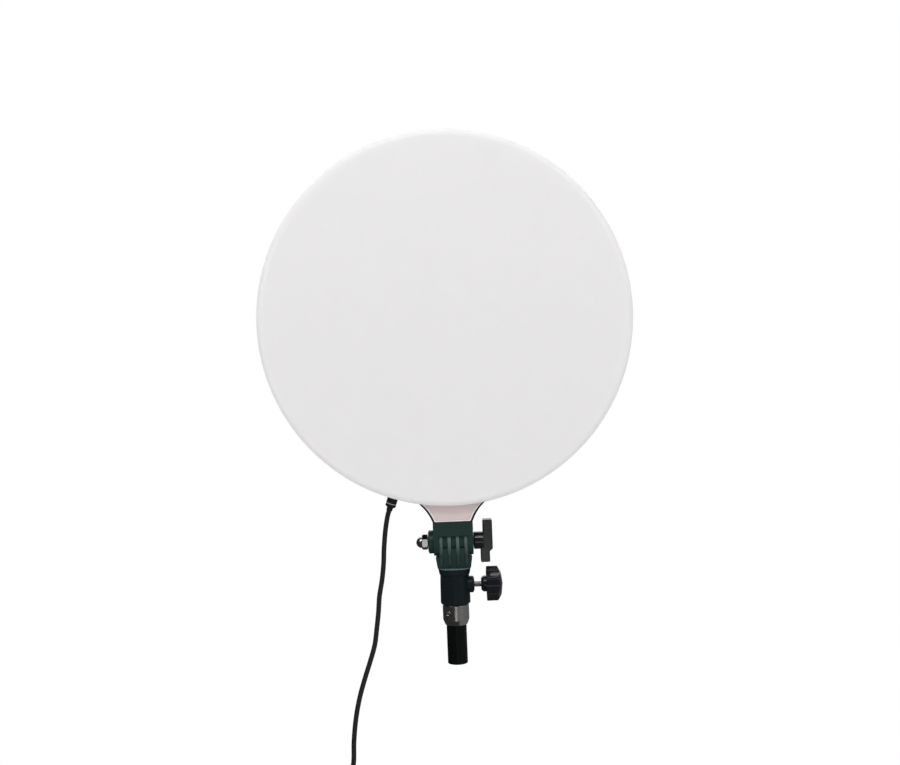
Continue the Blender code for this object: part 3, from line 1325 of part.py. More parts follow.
def wall_adapter(carrier, tail):
    """The adapter on the lead's end: its strain relief, its body and two blades on the back."""
    top = tail.z - CORD_GAP
    neck = top - ADAPTER_RELIEF_LENGTH
    profile = [
        (0, top),
        (ADAPTER_RELIEF_TIP, top),
        (ADAPTER_RELIEF_RADIUS, neck + GAP + ADAPTER_RELIEF_COLLAR),
        (ADAPTER_RELIEF_RADIUS, neck + GAP),
        (0, neck + GAP),
    ]
    relief = turned("adapter_taper", profile, (tail.x, tail.y, 0), (0, 0, 1), BORE_STEPS)
    keep(relief, "adapter_relief", SOFT_PVC, carrier)
    half_width, half_depth = ADAPTER_WIDTH / 2, ADAPTER_DEPTH / 2
    body = block(
        "adapter",
        (tail.x - half_width, tail.y - half_depth, neck - ADAPTER_HEIGHT),
        (tail.x + half_width, tail.y + half_depth, neck),
        ADAPTER_EDGE,
    )
    keep(body, "wall_adapter", BLACK_ABS, carrier)
    back = tail.y + half_depth + GAP
    middle = neck - ADAPTER_HEIGHT / 2
    for side, name in ((-1, "blade_left"), (1, "blade_right")):
        x = tail.x + side * BLADE_SPACING / 2
        blade = block(
            name,
            (x - BLADE_THICKNESS / 2, back, middle - BLADE_WIDTH / 2),
            (x + BLADE_THICKNESS / 2, back + BLADE_LENGTH, middle + BLADE_WIDTH / 2),
            BLADE_EDGE,
        )
        keep(blade, name, BRASS, carrier)


def main():
    clear_scene()
    root = pivot("stand_root", (0, 0, 0))
    bracket = pivot("pan_axis", (0, 0, SOCKET_BOTTOM), root)
    clamp = pivot("clamp_axis", (CLAMP_BOSS_END, 0, CLAMP_Z), bracket)
    head = pivot("tilt_axis", (0, 0, TILT_Z), bracket)
    handle = pivot("handle_axis", (HANDLE_START, 0, TILT_Z), head)
    brightness = pivot("brightness_axis", (DIAL_SPREAD, BOX_FACE, BOX_Z), head)
    colour = pivot("colour_axis", (-DIAL_SPREAD, BOX_FACE, BOX_Z), head)
    rocker = pivot("rocker_axis", (0, BOX_FACE + GAP, BOX_Z), head)

    stand(root)
    tilt_bracket(bracket)
    clamp_knob(clamp)
    neck_knuckle(head)
    bolt_start = cap_nut(head)
    tilt_handle(handle, bolt_start)
    front_cover(head)
    rear_housing(head)
    neck_cover(head)
    screws(head)
    led_board(head)
    reflector_ring(head)
    driver_board(head)
    control(head, brightness, 1, "brightness")
    control(head, colour, -1, "colour")
    power_switch(head, rocker)
    dc_jack(head)
    exit_point, exit_direction = dc_plug(head)
    tail = power_lead(bracket, exit_point, exit_direction)
    wall_adapter(bracket, tail)


main()
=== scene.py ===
"""Looks for the round LED soft light: smooth pieces, their finishes, the hanging lead, soft light and a camera.

Metres, +Z up, and the light faces -Y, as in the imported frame.
"""

import logging
from collections.abc import Sequence
from dataclasses import dataclass
from enum import Enum
from math import atan2, ceil, cos, degrees, radians, sin, sqrt, tan, tau

import bmesh
import bpy
from mathutils import Matrix, Vector


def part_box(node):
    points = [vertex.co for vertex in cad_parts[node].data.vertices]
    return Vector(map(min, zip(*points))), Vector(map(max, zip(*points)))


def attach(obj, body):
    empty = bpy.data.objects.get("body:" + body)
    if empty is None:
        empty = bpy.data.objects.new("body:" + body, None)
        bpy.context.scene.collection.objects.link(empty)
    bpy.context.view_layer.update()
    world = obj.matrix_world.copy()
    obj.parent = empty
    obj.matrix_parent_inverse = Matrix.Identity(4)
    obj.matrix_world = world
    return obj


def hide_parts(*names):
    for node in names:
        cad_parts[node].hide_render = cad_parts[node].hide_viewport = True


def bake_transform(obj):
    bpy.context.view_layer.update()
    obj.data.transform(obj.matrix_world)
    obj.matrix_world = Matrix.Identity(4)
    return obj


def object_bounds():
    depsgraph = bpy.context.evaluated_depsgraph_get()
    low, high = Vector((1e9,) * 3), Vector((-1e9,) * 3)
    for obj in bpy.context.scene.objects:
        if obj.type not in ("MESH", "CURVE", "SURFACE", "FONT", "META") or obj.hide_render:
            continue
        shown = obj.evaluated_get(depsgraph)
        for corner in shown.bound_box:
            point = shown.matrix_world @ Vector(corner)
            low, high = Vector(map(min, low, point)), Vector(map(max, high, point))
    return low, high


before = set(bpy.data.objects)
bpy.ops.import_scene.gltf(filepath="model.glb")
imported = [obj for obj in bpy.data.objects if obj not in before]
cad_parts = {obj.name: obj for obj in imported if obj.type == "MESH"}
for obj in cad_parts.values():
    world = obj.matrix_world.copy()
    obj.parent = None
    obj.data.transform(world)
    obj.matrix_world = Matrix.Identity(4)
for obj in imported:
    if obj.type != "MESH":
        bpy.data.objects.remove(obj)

CAD_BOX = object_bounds()
MM = 0.001
GAP = 0.3 * MM
# How far a turned skin stays outside the crests that it trims
HAIR = 0.05 * MM
RIGHT, LEFT, FRONT, BACK = (1, 0, 0), (-1, 0, 0), (0, -1, 0), (0, 1, 0)
# The holes round the tilt bolt, and the steps of a turn of the disc's pieces
BOLT_ROOM = 4.3 * MM
DISC_STEPS = 240
log = logging.getLogger("soft_light")

Point = tuple[float, float]
Corner = tuple[float, float, float]


class Body(Enum):
    """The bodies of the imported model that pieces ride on."""

    STAND = "stand"
    BRACKET = "bracket"
    CLAMP = "clamp_knob"
    HEAD = "head"
    HANDLE = "tilt_handle"
    BRIGHTNESS = "brightness_control"
    COLOUR = "colour_control"
    ROCKER = "rocker"


class Axis(Enum):
    """An axis that lathe marks run round."""

    X = 0
    Y = 1
    Z = 2


# Places and outlines


@dataclass(frozen=True)
class Extent:
    """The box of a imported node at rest."""

    low: Vector
    high: Vector

    @classmethod
    def of(cls, node: str) -> "Extent":
        """Read a node's box.

        Args:
            node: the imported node's name.

        Returns:
            Its lowest and highest corner.
        """
        low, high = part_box(node)
        return cls(low, high)

    @property
    def centre(self) -> Vector:
        """The middle of the box."""
        return (self.low + self.high) / 2

    @property
    def size(self) -> Vector:
        """The lengths of its sides."""
        return self.high - self.low


def tilt_height() -> float:
    """The height of the tilt axis."""
    return Extent.of("tilt_bolt").centre.z


def clamp_height() -> float:
    """The height of the clamp screw's axis."""
    return Extent.of("clamp_screw").centre.z


def aimed(direction: Sequence[float], place: Sequence[float]) -> Matrix:
    """Aim a shape that stands on its own +Z.

    Args:
        direction: where +Z goes.
        place: where the shape's origin goes.

    Returns:
        The transform.
    """
    turn = Vector(direction).to_track_quat("Z", "Y").to_matrix().to_4x4()
    return Matrix.Translation(place) @ turn


def across(x: float, y: float = 0.0, z: float = 0.0) -> Matrix:
    """Stand a plate whose outline is (Y, Z), with its middle at a place along X."""
    return Matrix(((0, 0, 1, x), (1, 0, 0, y), (0, 1, 0, z), (0, 0, 0, 1)))


def upright(y: float, x: float = 0.0, z: float = 0.0) -> Matrix:
    """Stand a plate whose outline is (X, Z), with its middle at a place along Y."""
    return Matrix(((1, 0, 0, x), (0, 0, -1, y), (0, 1, 0, z), (0, 0, 0, 1)))


def arc(centre: Point, radius: float, start: float, end: float, count: int) -> list[Point]:
    """Points along an arc, both ends included.

    Args:
        centre: the arc's centre.
        radius: its radius.
        start: the first angle, in degrees.
        end: the last angle, in degrees.
        count: how many chords it has.

    Returns:
        The points.
    """
    turns = [radians(start + (end - start) * k / count) for k in range(count + 1)]
    return [(centre[0] + radius * cos(a), centre[1] + radius * sin(a)) for a in turns]


def rounded(corners: Sequence[Corner], closed: bool = True, step: float = 12.0) -> list[Point]:
    """Turn corners into points, with an arc in place of each corner that has a radius.

    Args:
        corners: (x, y, radius) for each corner.
        closed: whether the last corner joins the first.
        step: the largest turn between two points of an arc, in degrees.

    Returns:
        The outline's points.
    """
    points: list[Point] = []
    count = len(corners)
    for k, (x, y, radius) in enumerate(corners):
        if radius <= 0 or (not closed and k in (0, count - 1)):
            points.append((x, y))
            continue
        here = Vector((x, y))
        back = Vector(corners[k - 1][:2]) - here
        ahead = Vector(corners[(k + 1) % count][:2]) - here
        half = back.angle(ahead) / 2
        reach = radius / tan(half)
        start = here + back.normalized() * reach
        end = here + ahead.normalized() * reach
        centre = here + (back.normalized() + ahead.normalized()).normalized() * radius / sin(half)
        first = atan2(start.y - centre.y, start.x - centre.x)
        sweep = (atan2(end.y - centre.y, end.x - centre.x) - first + tau / 2) % tau - tau / 2
        chords = max(2, ceil(abs(degrees(sweep)) / step))
        points += arc((centre.x, centre.y), radius, degrees(first), degrees(first + sweep), chords)
    return points


def lathe_profile(*corners: Corner, step: float = 12.0) -> list[Point]:
    """Rounded (radius, height, rounding) corners of a profile that starts and ends on the axis."""
    return rounded(corners, closed=False, step=step)


def oblong(width: float, height: float, corner: float, step: float = 12.0) -> list[Point]:
    """A rectangle with round corners about its own centre."""
    x, y = width / 2, height / 2
    return rounded([(x, y, corner), (-x, y, corner), (-x, -y, corner), (x, -y, corner)], step=step)


def lobed(radius: float, depth: float, lobes: int, points_each: int, roundness: float = 0.2) -> list[Point]:
    """A scalloped outline with one crest at the top.

    Args:
        radius: the reach of a lobe.
        depth: how deep the hollows between crests are.
        lobes: how many crests there are.
        points_each: how many points each lobe has.
        roundness: 0 for sharp crests, and more for rounder ones.

    Returns:
        The outline's points.
    """
    points = []
    for k in range(lobes * points_each):
        angle = tau * k / (lobes * points_each)
        dip = sqrt(sin(lobes * angle / 2) ** 2 + roundness**2) - roundness
        reach = radius - depth * dip / (sqrt(1 + roundness**2) - roundness)
        points.append((-reach * sin(angle), reach * cos(angle)))
    return points


def placed(name: str, data: bpy.types.ID) -> bpy.types.Object:
    """Make an object and link it to the scene.

    Args:
        name: the object's name.
        data: its mesh, curve, lamp or camera.

    Returns:
        The object.
    """
    item = bpy.data.objects.new(name, data)
    bpy.context.scene.collection.objects.link(item)
    return item


# Solids


class Shape:
    """A solid while it is being made."""

    def __init__(self) -> None:
        """Start with nothing."""
        self.mesh = bmesh.new()

    @classmethod
    def turned(cls, profile: Sequence[Point], steps: int = 96) -> "Shape":
        """Spin a profile about Z.

        Args:
            profile: (radius, height) points. Its ends lie on the axis, or it closes on itself.
            steps: how many steps a turn has.

        Returns:
            The closed solid.
        """
        shape = cls()
        verts = [shape.mesh.verts.new((radius, 0, height)) for radius, height in profile]
        edges = [shape.mesh.edges.new(pair) for pair in zip(verts, verts[1:])]
        if profile[0][0] > 0:
            edges.append(shape.mesh.edges.new((verts[-1], verts[0])))
        bmesh.ops.spin(
            shape.mesh,
            geom=verts + edges,
            cent=(0, 0, 0),
            axis=(0, 0, 1),
            angle=tau,
            steps=steps,
            use_merge=True,
        )
        return shape.cleaned()

    @classmethod
    def plate(cls, outline: Sequence[Point], thickness: float) -> "Shape":
        """Give a flat outline a thickness, half above and half below Z = 0.

        Args:
            outline: its (X, Y) points.
            thickness: how thick it gets.

        Returns:
            The closed solid.
        """
        shape = cls()
        face = shape.mesh.faces.new([shape.mesh.verts.new((x, y, -thickness / 2)) for x, y in outline])
        raised = bmesh.ops.extrude_face_region(shape.mesh, geom=[face])["geom"]
        verts = [part for part in raised if isinstance(part, bmesh.types.BMVert)]
        bmesh.ops.translate(shape.mesh, vec=(0, 0, thickness), verts=verts)
        return shape.cleaned()

    @classmethod
    def block(cls, low: Sequence[float], high: Sequence[float]) -> "Shape":
        """A box between two corners.

        Args:
            low: its lowest corner.
            high: its highest corner.

        Returns:
            The closed solid.
        """
        shape = cls()
        bmesh.ops.create_cube(shape.mesh, size=1.0)
        low, high = Vector(low), Vector(high)
        bmesh.ops.scale(shape.mesh, vec=high - low, verts=shape.mesh.verts)
        bmesh.ops.translate(shape.mesh, vec=(low + high) / 2, verts=shape.mesh.verts)
        return shape

    @classmethod
    def rod(cls, start: Sequence[float], end: Sequence[float], radius: float, steps: int = 48) -> "Shape":
        """A plain round bar.

        Args:
            start: the middle of one end.
            end: the middle of the other.
            radius: its radius.
            steps: how many sides it has.

        Returns:
            The closed solid.
        """
        start, end = Vector(start), Vector(end)
        length = (end - start).length
        bar = cls.turned([(0, 0), (radius, 0), (radius, length), (0, length)], steps)
        return bar.moved(aimed(end - start, start))

    def cleaned(self) -> "Shape":
        """Weld doubles and turn every face outwards.

        Returns:
            The shape.
        """
        bmesh.ops.remove_doubles(self.mesh, verts=self.mesh.verts, dist=MM / 1000)
        bmesh.ops.recalc_face_normals(self.mesh, faces=self.mesh.faces)
        return self

    def moved(self, transform: Matrix) -> "Shape":
        """Move the shape by a transform."""
        bmesh.ops.transform(self.mesh, matrix=transform, verts=self.mesh.verts)
        return self

    def tapered(self, share: float) -> "Shape":
        """Draw in what lies below Z = 0 along X.

        Args:
            share: what is left of its width.

        Returns:
            The shape.
        """
        below = [vert for vert in self.mesh.verts if vert.co.z < 0]
        bmesh.ops.scale(self.mesh, vec=(share, 1, 1), verts=below)
        return self

    def softened(self, width: float, segments: int = 3, sharper_than: float = 30.0) -> "Shape":
        """Round the sharp edges.

        Args:
            width: how far each bevel reaches.
            segments: how many faces it has.
            sharper_than: the least angle between faces that is rounded, in degrees.

        Returns:
            The shape.
        """
        limit = radians(sharper_than)
        edges = [edge for edge in self.mesh.edges if edge.is_manifold and edge.calc_face_angle() > limit]
        bmesh.ops.bevel(
            self.mesh,
            geom=edges,
            offset=width,
            offset_type="OFFSET",
            segments=segments,
            profile=0.5,
            affect="EDGES",
            clamp_overlap=True,
            material=-1,
        )
        return self

    def with_shells(self, *others: "Shape") -> "Shape":
        """Take in shapes that don't touch this one.

        Args:
            others: the shapes, which are used up.

        Returns:
            The shape.
        """
        for other in others:
            mesh = other.as_mesh("shell")
            self.mesh.from_mesh(mesh)
            bpy.data.meshes.remove(mesh)
        return self

    def as_mesh(self, name: str) -> bpy.types.Mesh:
        """Turn the shape into plain mesh data, which uses it up.

        Args:
            name: the mesh's name.

        Returns:
            The mesh.
        """
        mesh = bpy.data.meshes.new(name)
        self.mesh.to_mesh(mesh)
        self.mesh.free()
        return mesh

    def joined(self, *others: "Shape") -> "Shape":
        """Unite the shape with others."""
        return self._combined(others, "UNION")

    def cut(self, *others: "Shape") -> "Shape":
        """Take others away from the shape."""
        return self._combined(others, "DIFFERENCE")

    def within(self, other: "Shape") -> "Shape":
        """Keep what lies inside another shape."""
        return self._combined((other,), "INTERSECT")

    def _combined(self, others: Sequence["Shape"], operation: str) -> "Shape":
        """Run one kind of boolean with each of the others in turn.

        Args:
            others: the tools, which are used up.
            operation: the boolean's kind.

        Returns:
            The shape.
        """
        base = placed("base", self.as_mesh("base"))
        tools = []
        for other in others:
            tool = placed("tool", other.as_mesh("tool"))
            modifier = base.modifiers.new(operation, "BOOLEAN")
            modifier.operation = operation
            modifier.object = tool
            modifier.solver = "EXACT"
            tools.append(tool)
        graph = bpy.context.evaluated_depsgraph_get()
        result = bpy.data.meshes.new_from_object(base.evaluated_get(graph))
        for spent in (base, *tools):
            data = spent.data
            bpy.data.objects.remove(spent)
            bpy.data.meshes.remove(data)
        self.mesh = bmesh.new()
        self.mesh.from_mesh(result)
        bpy.data.meshes.remove(result)
        return self.cleaned()


# Finishes


def linear(colour: str) -> tuple[float, float, float, float]:
    """Turn an sRGB colour into linear values.

    Args:
        colour: six hex digits.

    Returns:
        Red, green, blue and alpha.
    """
    parts = [int(colour[k : k + 2], 16) / 255 for k in (0, 2, 4)]
    values = [c / 12.92 if c <= 0.04045 else ((c + 0.055) / 1.055) ** 2.4 for c in parts]
    return (*values, 1.0)


def add_node(
    tree: bpy.types.NodeTree,
    kind: str,
    settings: dict[str | int, object] | None = None,
    links: dict[str | int, bpy.types.NodeSocket] | None = None,
) -> bpy.types.Node:
    """Add a node with its settings and links.

    Args:
        tree: the tree that it joins.
        kind: the node's type.
        settings: its properties in small letters, and its socket values by name or number.
        links: what is linked into each of its sockets.

    Returns:
        The node.
    """
    node = tree.nodes.new(kind)
    for key, value in (settings or {}).items():
        if isinstance(key, str) and key[0].islower():
            setattr(node, key, value)
        else:
            node.inputs[key].default_value = value
    for key, source in (links or {}).items():
        tree.links.new(source, node.inputs[key])
    return node


def bare_tree(owner: bpy.types.Material | bpy.types.World) -> bpy.types.NodeTree:
    """Give a material or a world an empty node tree.

    Args:
        owner: the material or world.

    Returns:
        Its tree.
    """
    owner.use_nodes = True
    owner.node_tree.nodes.clear()
    return owner.node_tree


def per_metre(millimetres: float) -> float:
    """The texture scale at which a pattern repeats each so many millimetres."""
    return 1000 / millimetres


@dataclass
class Surface:
    """A material's nodes while a finish goes on it."""

    tree: bpy.types.NodeTree
    shader: bpy.types.Node
    place: bpy.types.NodeSocket

    def give(self, values: dict[str, object]) -> None:
        """Set sockets of the shader to values of their own."""
        for socket, value in values.items():
            self.shader.inputs[socket].default_value = value

    def feed(self, sources: dict[str, bpy.types.NodeSocket]) -> None:
        """Link nodes into sockets of the shader."""
        for socket, source in sources.items():
            self.tree.links.new(source, self.shader.inputs[socket])

    def vary(
        self,
        pattern: bpy.types.NodeSocket,
        relief: bpy.types.NodeSocket,
        colours: tuple[str, str],
        sheen: tuple[float, float],
        depth_mm: float,
    ) -> None:
        """Let one pattern vary the colour and the sheen, and another raise the surface.

        Args:
            pattern: what varies the colour and the sheen.
            relief: what raises the surface.
            colours: the colours where the pattern is low and high.
            sheen: the roughness where it is low and high.
            depth_mm: how high the relief is.
        """
        low, high = (linear(colour) for colour in colours)
        tone = add_node(self.tree, "ShaderNodeMix", {"data_type": "RGBA", 6: low, 7: high}, {"Factor": pattern})
        limits = {"To Min": sheen[0], "To Max": sheen[1]}
        gloss = add_node(self.tree, "ShaderNodeMapRange", limits, {"Value": pattern})
        rise = {"Distance": depth_mm * MM, "Strength": 1.0}
        bump = add_node(self.tree, "ShaderNodeBump", rise, {"Height": relief})
        self.feed({"Base Color": tone.outputs[2], "Roughness": gloss.outputs[0], "Normal": bump.outputs[0]})


@dataclass(frozen=True)
class Finish:
    """What every finish has: its names, its colour and how it reflects."""

    name: str
    slot: str
    colour: str
    roughness: float

    def material(self) -> bpy.types.Material:
        """Make the material once and return it each time.

        Returns:
            The material.
        """
        made = bpy.data.materials.get(self.name)
        if made is None:
            made = bpy.data.materials.new(self.name)
            made.use_nodes = True
            tree = made.node_tree
            place = add_node(tree, "ShaderNodeTexCoord").outputs["Object"]
            self.dress(Surface(tree, tree.nodes["Principled BSDF"], place))
        return made

    def dress(self, surface: Surface) -> None:
        """Add this finish's own nodes. Each kind of finish has its own way."""
        raise NotImplementedError


@dataclass(frozen=True)
class MouldedPlastic(Finish):
    """Injection moulded plastic: a spark-eroded grain, a cloudy tone and an uneven sheen."""

    tone: str
    grain_mm: float = 0.8
    grain_depth_mm: float = 0.03
    sheen_spread: float = 0.08
    cloud_mm: float = 14.0
    shine: float = 0.5
    ior: float = 1.53

    def dress(self, surface: Surface) -> None:
        """Add the cloudy tone, the uneven sheen and the grain.

        Args:
            surface: the material's nodes.
        """
        surface.give({"IOR": self.ior, "Specular IOR Level": self.shine})
        cloud, grain = (
            add_node(surface.tree, "ShaderNodeTexNoise", settings, {"Vector": surface.place}).outputs["Fac"]
            for settings in (
                {"Scale": per_metre(self.cloud_mm), "Detail": 4.0, "Roughness": 0.6},
                {"Scale": per_metre(self.grain_mm), "Detail": 2.0},
            )
        )
        sheen = (self.roughness - self.sheen_spread, self.roughness + self.sheen_spread)
        surface.vary(cloud, grain, (self.colour, self.tone), sheen, self.grain_depth_mm)


@dataclass(frozen=True)
class PaintedHighlightPlastic(MouldedPlastic):
    """Moulded plastic with a painted highlight: lighter towards its top, where light falls, and fading downwards into
    a darker unlit colour.
    """

    # The colour that the painted highlight fades into at the bottom, and the heights where the fade starts and ends
    unlit: str = "1c302c"
    low: float = 0.108
    high: float = 0.123

    def dress(self, surface: Surface) -> None:
        """Add the moulded look, then fade the painted highlight downwards into the unlit colour.

        Args:
            surface: the material's nodes.
        """
        super().dress(surface)
        tree, highlighted = surface.tree, surface.shader.inputs["Base Color"].links[0].from_socket
        height = add_node(tree, "ShaderNodeSeparateXYZ", {}, {"Vector": surface.place}).outputs["Z"]
        limits = {"From Min": self.low, "From Max": self.high}
        share = add_node(tree, "ShaderNodeMapRange", limits, {"Value": height}).outputs["Result"]
        unlit = {"data_type": "RGBA", 6: linear(self.unlit)}
        fade = add_node(tree, "ShaderNodeMix", unlit, {"Factor": share, 7: highlighted})
        surface.feed({"Base Color": fade.outputs[2]})


@dataclass(frozen=True)
class OpalSheet(MouldedPlastic):
    """Opal acrylic: light goes a few millimetres into it, so its edges glow and its face looks even."""

    ior: float = 1.49
    depth_mm: float = 5.0
    milkiness: float = 0.8

    def dress(self, surface: Surface) -> None:
        """Add the moulded grain, then the light that goes in.

        Args:
            surface: the material's nodes.
        """
        super().dress(surface)
        surface.give({"Subsurface Weight": self.milkiness, "Subsurface Radius": (1.0, 1.0, 1.0)})
        surface.give({"Subsurface Scale": self.depth_mm * MM})


@dataclass(frozen=True)
class TurnedMetal(Finish):
    """Metal turned on a lathe: fine rings round its axis, with darker and brighter ones among them."""

    tone: str
    axis: Axis = Axis.Z
    ring_mm: float = 0.9
    ring_depth_mm: float = 0.012
    stretch: float = 0.02
    sheen_shares: tuple[float, float] = (0.7, 1.4)

    def dress(self, surface: Surface) -> None:
        """Add rings from a noise that is drawn out round the axis.

        Args:
            surface: the material's nodes.
        """
        surface.give({"Metallic": 1.0})
        tree, scale = surface.tree, [self.stretch] * 3
        scale[self.axis.value] = 1.0
        drawn = add_node(tree, "ShaderNodeMapping", {"Scale": scale}, {"Vector": surface.place}).outputs["Vector"]
        fine = {"Scale": per_metre(self.ring_mm), "Detail": 5.0, "Roughness": 0.7}
        rings = add_node(tree, "ShaderNodeTexNoise", fine, {"Vector": drawn}).outputs["Fac"]
        low, high = (self.roughness * share for share in self.sheen_shares)
        surface.vary(rings, rings, (self.tone, self.colour), (low, high), self.ring_depth_mm)


@dataclass(frozen=True)
class PowderCoat(MouldedPlastic):
    """Gloss powder coat: the shallow orange peel of a baked coat, under its own clear gloss."""

    gloss: float = 0.5
    gloss_roughness: float = 0.12

    def dress(self, surface: Surface) -> None:
        """Add the peel, then the gloss over it."""
        super().dress(surface)
        surface.give({"Coat Weight": self.gloss, "Coat Roughness": self.gloss_roughness})


@dataclass(frozen=True)
class WovenStrap(MouldedPlastic):
    """Hook-and-loop tape: a coarse weave that scatters light."""

    thread_mm: float = 0.7

    def dress(self, surface: Surface) -> None:
        """Add crossed threads to the moulded look.

        Args:
            surface: the material's nodes.
        """
        super().dress(surface)
        tree = surface.tree
        bands = {"wave_type": "BANDS", "Scale": per_metre(self.thread_mm) / 20}
        threads = {}
        for k, way in enumerate(("X", "Z")):
            wave = add_node(tree, "ShaderNodeTexWave", bands | {"bands_direction": way}, {"Vector": surface.place})
            threads[k] = wave.outputs["Fac"]
        weave = add_node(tree, "ShaderNodeMath", {"operation": "MULTIPLY"}, threads).outputs["Value"]
        bump = add_node(tree, "ShaderNodeBump", {"Distance": self.thread_mm * MM / 3}, {"Height": weave})
        surface.feed({"Normal": bump.outputs["Normal"]})


# Opal acrylic sheet, vacuum formed: even, faintly warm white with a satin face
OPAL = OpalSheet(
    "opal_acrylic_formed", "milky_acrylic", "e8e6e7", 0.50, "e5e3e4", grain_depth_mm=0.004, shine=0.15
)
# Black ABS, moulded in a spark-eroded tool: dark grey with a fine even grain
HOUSING_ABS = MouldedPlastic("black_abs_moulded", "black_abs", "121516", 0.48, "181b1c", shine=0.3)
# Pale ABS, moulded smooth: a faintly pink white plate, its colour darkened with painted shade from the disc above
PALE_ABS = MouldedPlastic("pale_abs_painted_shade", "white_abs", "cabcba", 0.42, "c6b8b6", grain_depth_mm=0.006)
# The same ABS on the plate's border, painted lighter as the highlight that its edge catches
PALE_RIM_PAINTED_HIGHLIGHT = MouldedPlastic("pale_abs_painted_highlight", "white_abs", "e9e3e3", 0.30, "e4dede", grain_depth_mm=0.004)
# Glass-filled nylon, moulded: green black, with a dull sheen that catches on edges
FORK_NYLON = MouldedPlastic("glass_filled_nylon", "dark_nylon", "172c28", 0.38, "1d3430", shine=0.22)
# The same nylon on the socket, ledge and boss, painted darker and bluer as the shade below the fork
SOCKET_NYLON = MouldedPlastic(
    "nylon_painted_shade", "dark_nylon", "0e1719", 0.34, "121b1e", grain_depth_mm=0.012, shine=0.15
)
# The same nylon on the ribs' crests, with a painted highlight: greyer and brighter at the top, where the crests catch
# light, darker downwards
RIB_NYLON = PaintedHighlightPlastic("nylon_painted_highlight", "dark_nylon", "4e5f5b", 0.34, "586965", shine=0.35)
# The same nylon, painted paler on a thin bead at the ledge's top edge: a painted highlight where that edge catches
# light
BEAD_PAINTED_HIGHLIGHT = MouldedPlastic("nylon_painted_highlight_line", "dark_nylon", "4f6263", 0.30, "586b6c", grain_depth_mm=0.012)
# Black ABS grips, moulded smooth: neutral black with a soft highlight
GRIP_ABS = MouldedPlastic(
    "grip_abs_moulded", "black_knob", "131419", 0.20, "18191f", grain_depth_mm=0.012, sheen_spread=0.04, shine=0.35
)
# The T handle's ABS: a green black, a little lighter than the star grip
HANDLE_ABS = MouldedPlastic(
    "t_handle_abs", "black_knob", "131716", 0.20, "191d1c", grain_depth_mm=0.012, sheen_spread=0.04, shine=0.6
)
# Nickel chrome plate on a pressed nut: mirror bright with the faint waves of polishing
CHROME_PLATE = TurnedMetal(
    "chrome_plate_polished", "chrome", "b9b9b7", 0.09, "adadab", axis=Axis.X, ring_mm=3.0, ring_depth_mm=0.004
)
# Free-cutting steel, turned and nickel plated. The rings are drawn 0.9 mm apart, coarser than real, to show
COLLAR_STEEL = TurnedMetal("plated_steel_turned", "steel", "d4d2ce", 0.22, "989693", ring_depth_mm=0.02)
# Zinc-plated screw steel: bright, with rings along the shank
SCREW_STEEL = TurnedMetal("zinc_plated_screw", "steel", "f0efec", 0.32, "dad8d4", axis=Axis.X)
# The same zinc plate on screws that point backwards
BACK_SCREW_STEEL = TurnedMetal("zinc_plated_back_screw", "steel", "b6b4b0", 0.28, "8e8c88", axis=Axis.Y)
# Anodised aluminium, turned: pale grey and satin
SHAFT_ALUMINIUM = TurnedMetal("anodised_aluminium", "aluminium", "c9cbcc", 0.38, "b4b6b8", axis=Axis.Y)
# Plain brass, pressed or turned: yellow with darker streaks
BRASS = TurnedMetal("brass_pressed", "brass", "b8954f", 0.30, "957438", axis=Axis.X)
# Gloss black powder coat on the tube: near black, with a shallow orange peel
TUBE_COAT = PowderCoat(
    "gloss_powder_coat", "black_paint", "050907", 0.36, "090e0b", 2.2, grain_depth_mm=0.02, shine=0.12, gloss=0.03
)
# Soft PVC jacket, extruded: matt black with a faint bloom
JACKET_PVC = MouldedPlastic(
    "soft_pvc_extruded", "soft_pvc", "1a1b1d", 0.36, "212224", grain_mm=1.2, grain_depth_mm=0.02, shine=0.35
)
# Soft PVC moulded onto the jacket: a little greyer and rougher than the jacket
OVERMOULD_PVC = MouldedPlastic("soft_pvc_moulded", "soft_pvc", "17181a", 0.46, "1e1f21", shine=0.3)
# A pale grey matt ring in the plug's groove: a painted highlight, the one light line on the plug
PLUG_HIGHLIGHT_BAND = MouldedPlastic("plug_groove_painted_highlight", "soft_pvc", "b9b9b6", 0.45, "aeaeab")
# Green solder resist over copper: smooth, glossy and slightly uneven
SOLDER_RESIST = PowderCoat("solder_resist", "circuit_green", "1f5a3a", 0.40, "1a4a31", grain_mm=3.0)
# White coated card: matt and very pale
CARD = MouldedPlastic("white_coated_card", "white_card", "efefec", 0.60, "e8e8e4")
# Pad-printed white ink: flat, opaque and slightly rough
PRINT_INK = MouldedPlastic("pad_printed_ink", "white_card", "d9d9d6", 0.55, "cfcfcc", grain_depth_mm=0.004)
# Nylon hook-and-loop tape: black, with a coarse weave
STRAP = WovenStrap("hook_and_loop_tape", "soft_pvc", "1a1a1c", 0.8, "222224")


def shown(
    shape: Shape, name: str, finish: Finish, body: Body | None, *stands_for: str, crease: float = 35.0
) -> bpy.types.Object:
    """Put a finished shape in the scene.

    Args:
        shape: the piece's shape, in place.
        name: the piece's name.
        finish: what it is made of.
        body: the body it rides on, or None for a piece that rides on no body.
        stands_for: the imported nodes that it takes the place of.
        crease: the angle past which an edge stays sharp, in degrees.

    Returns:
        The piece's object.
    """
    mesh = shape.as_mesh(name)
    mesh.shade_smooth()
    mesh.set_sharp_from_angle(angle=radians(crease))
    mesh.materials.append(finish.material())
    piece = placed(name, mesh)
    weights = piece.modifiers.new("even_shading", "WEIGHTED_NORMAL")
    weights.keep_sharp = True
    if body is not None:
        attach(piece, body.value)
    if stands_for:
        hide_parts(*stands_for)
    log.info("%s: %d faces", name, len(mesh.polygons))
    return piece


def carried(node: str, finish: Finish) -> None:
    """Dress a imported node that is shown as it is.

    Args:
        node: the node's name.
        finish: what it is made of.
    """
    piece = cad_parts[node]
    piece.data.materials.clear()
    piece.data.materials.append(finish.material())
    log.info("%s: carried over", node)


# Sub-assemblies


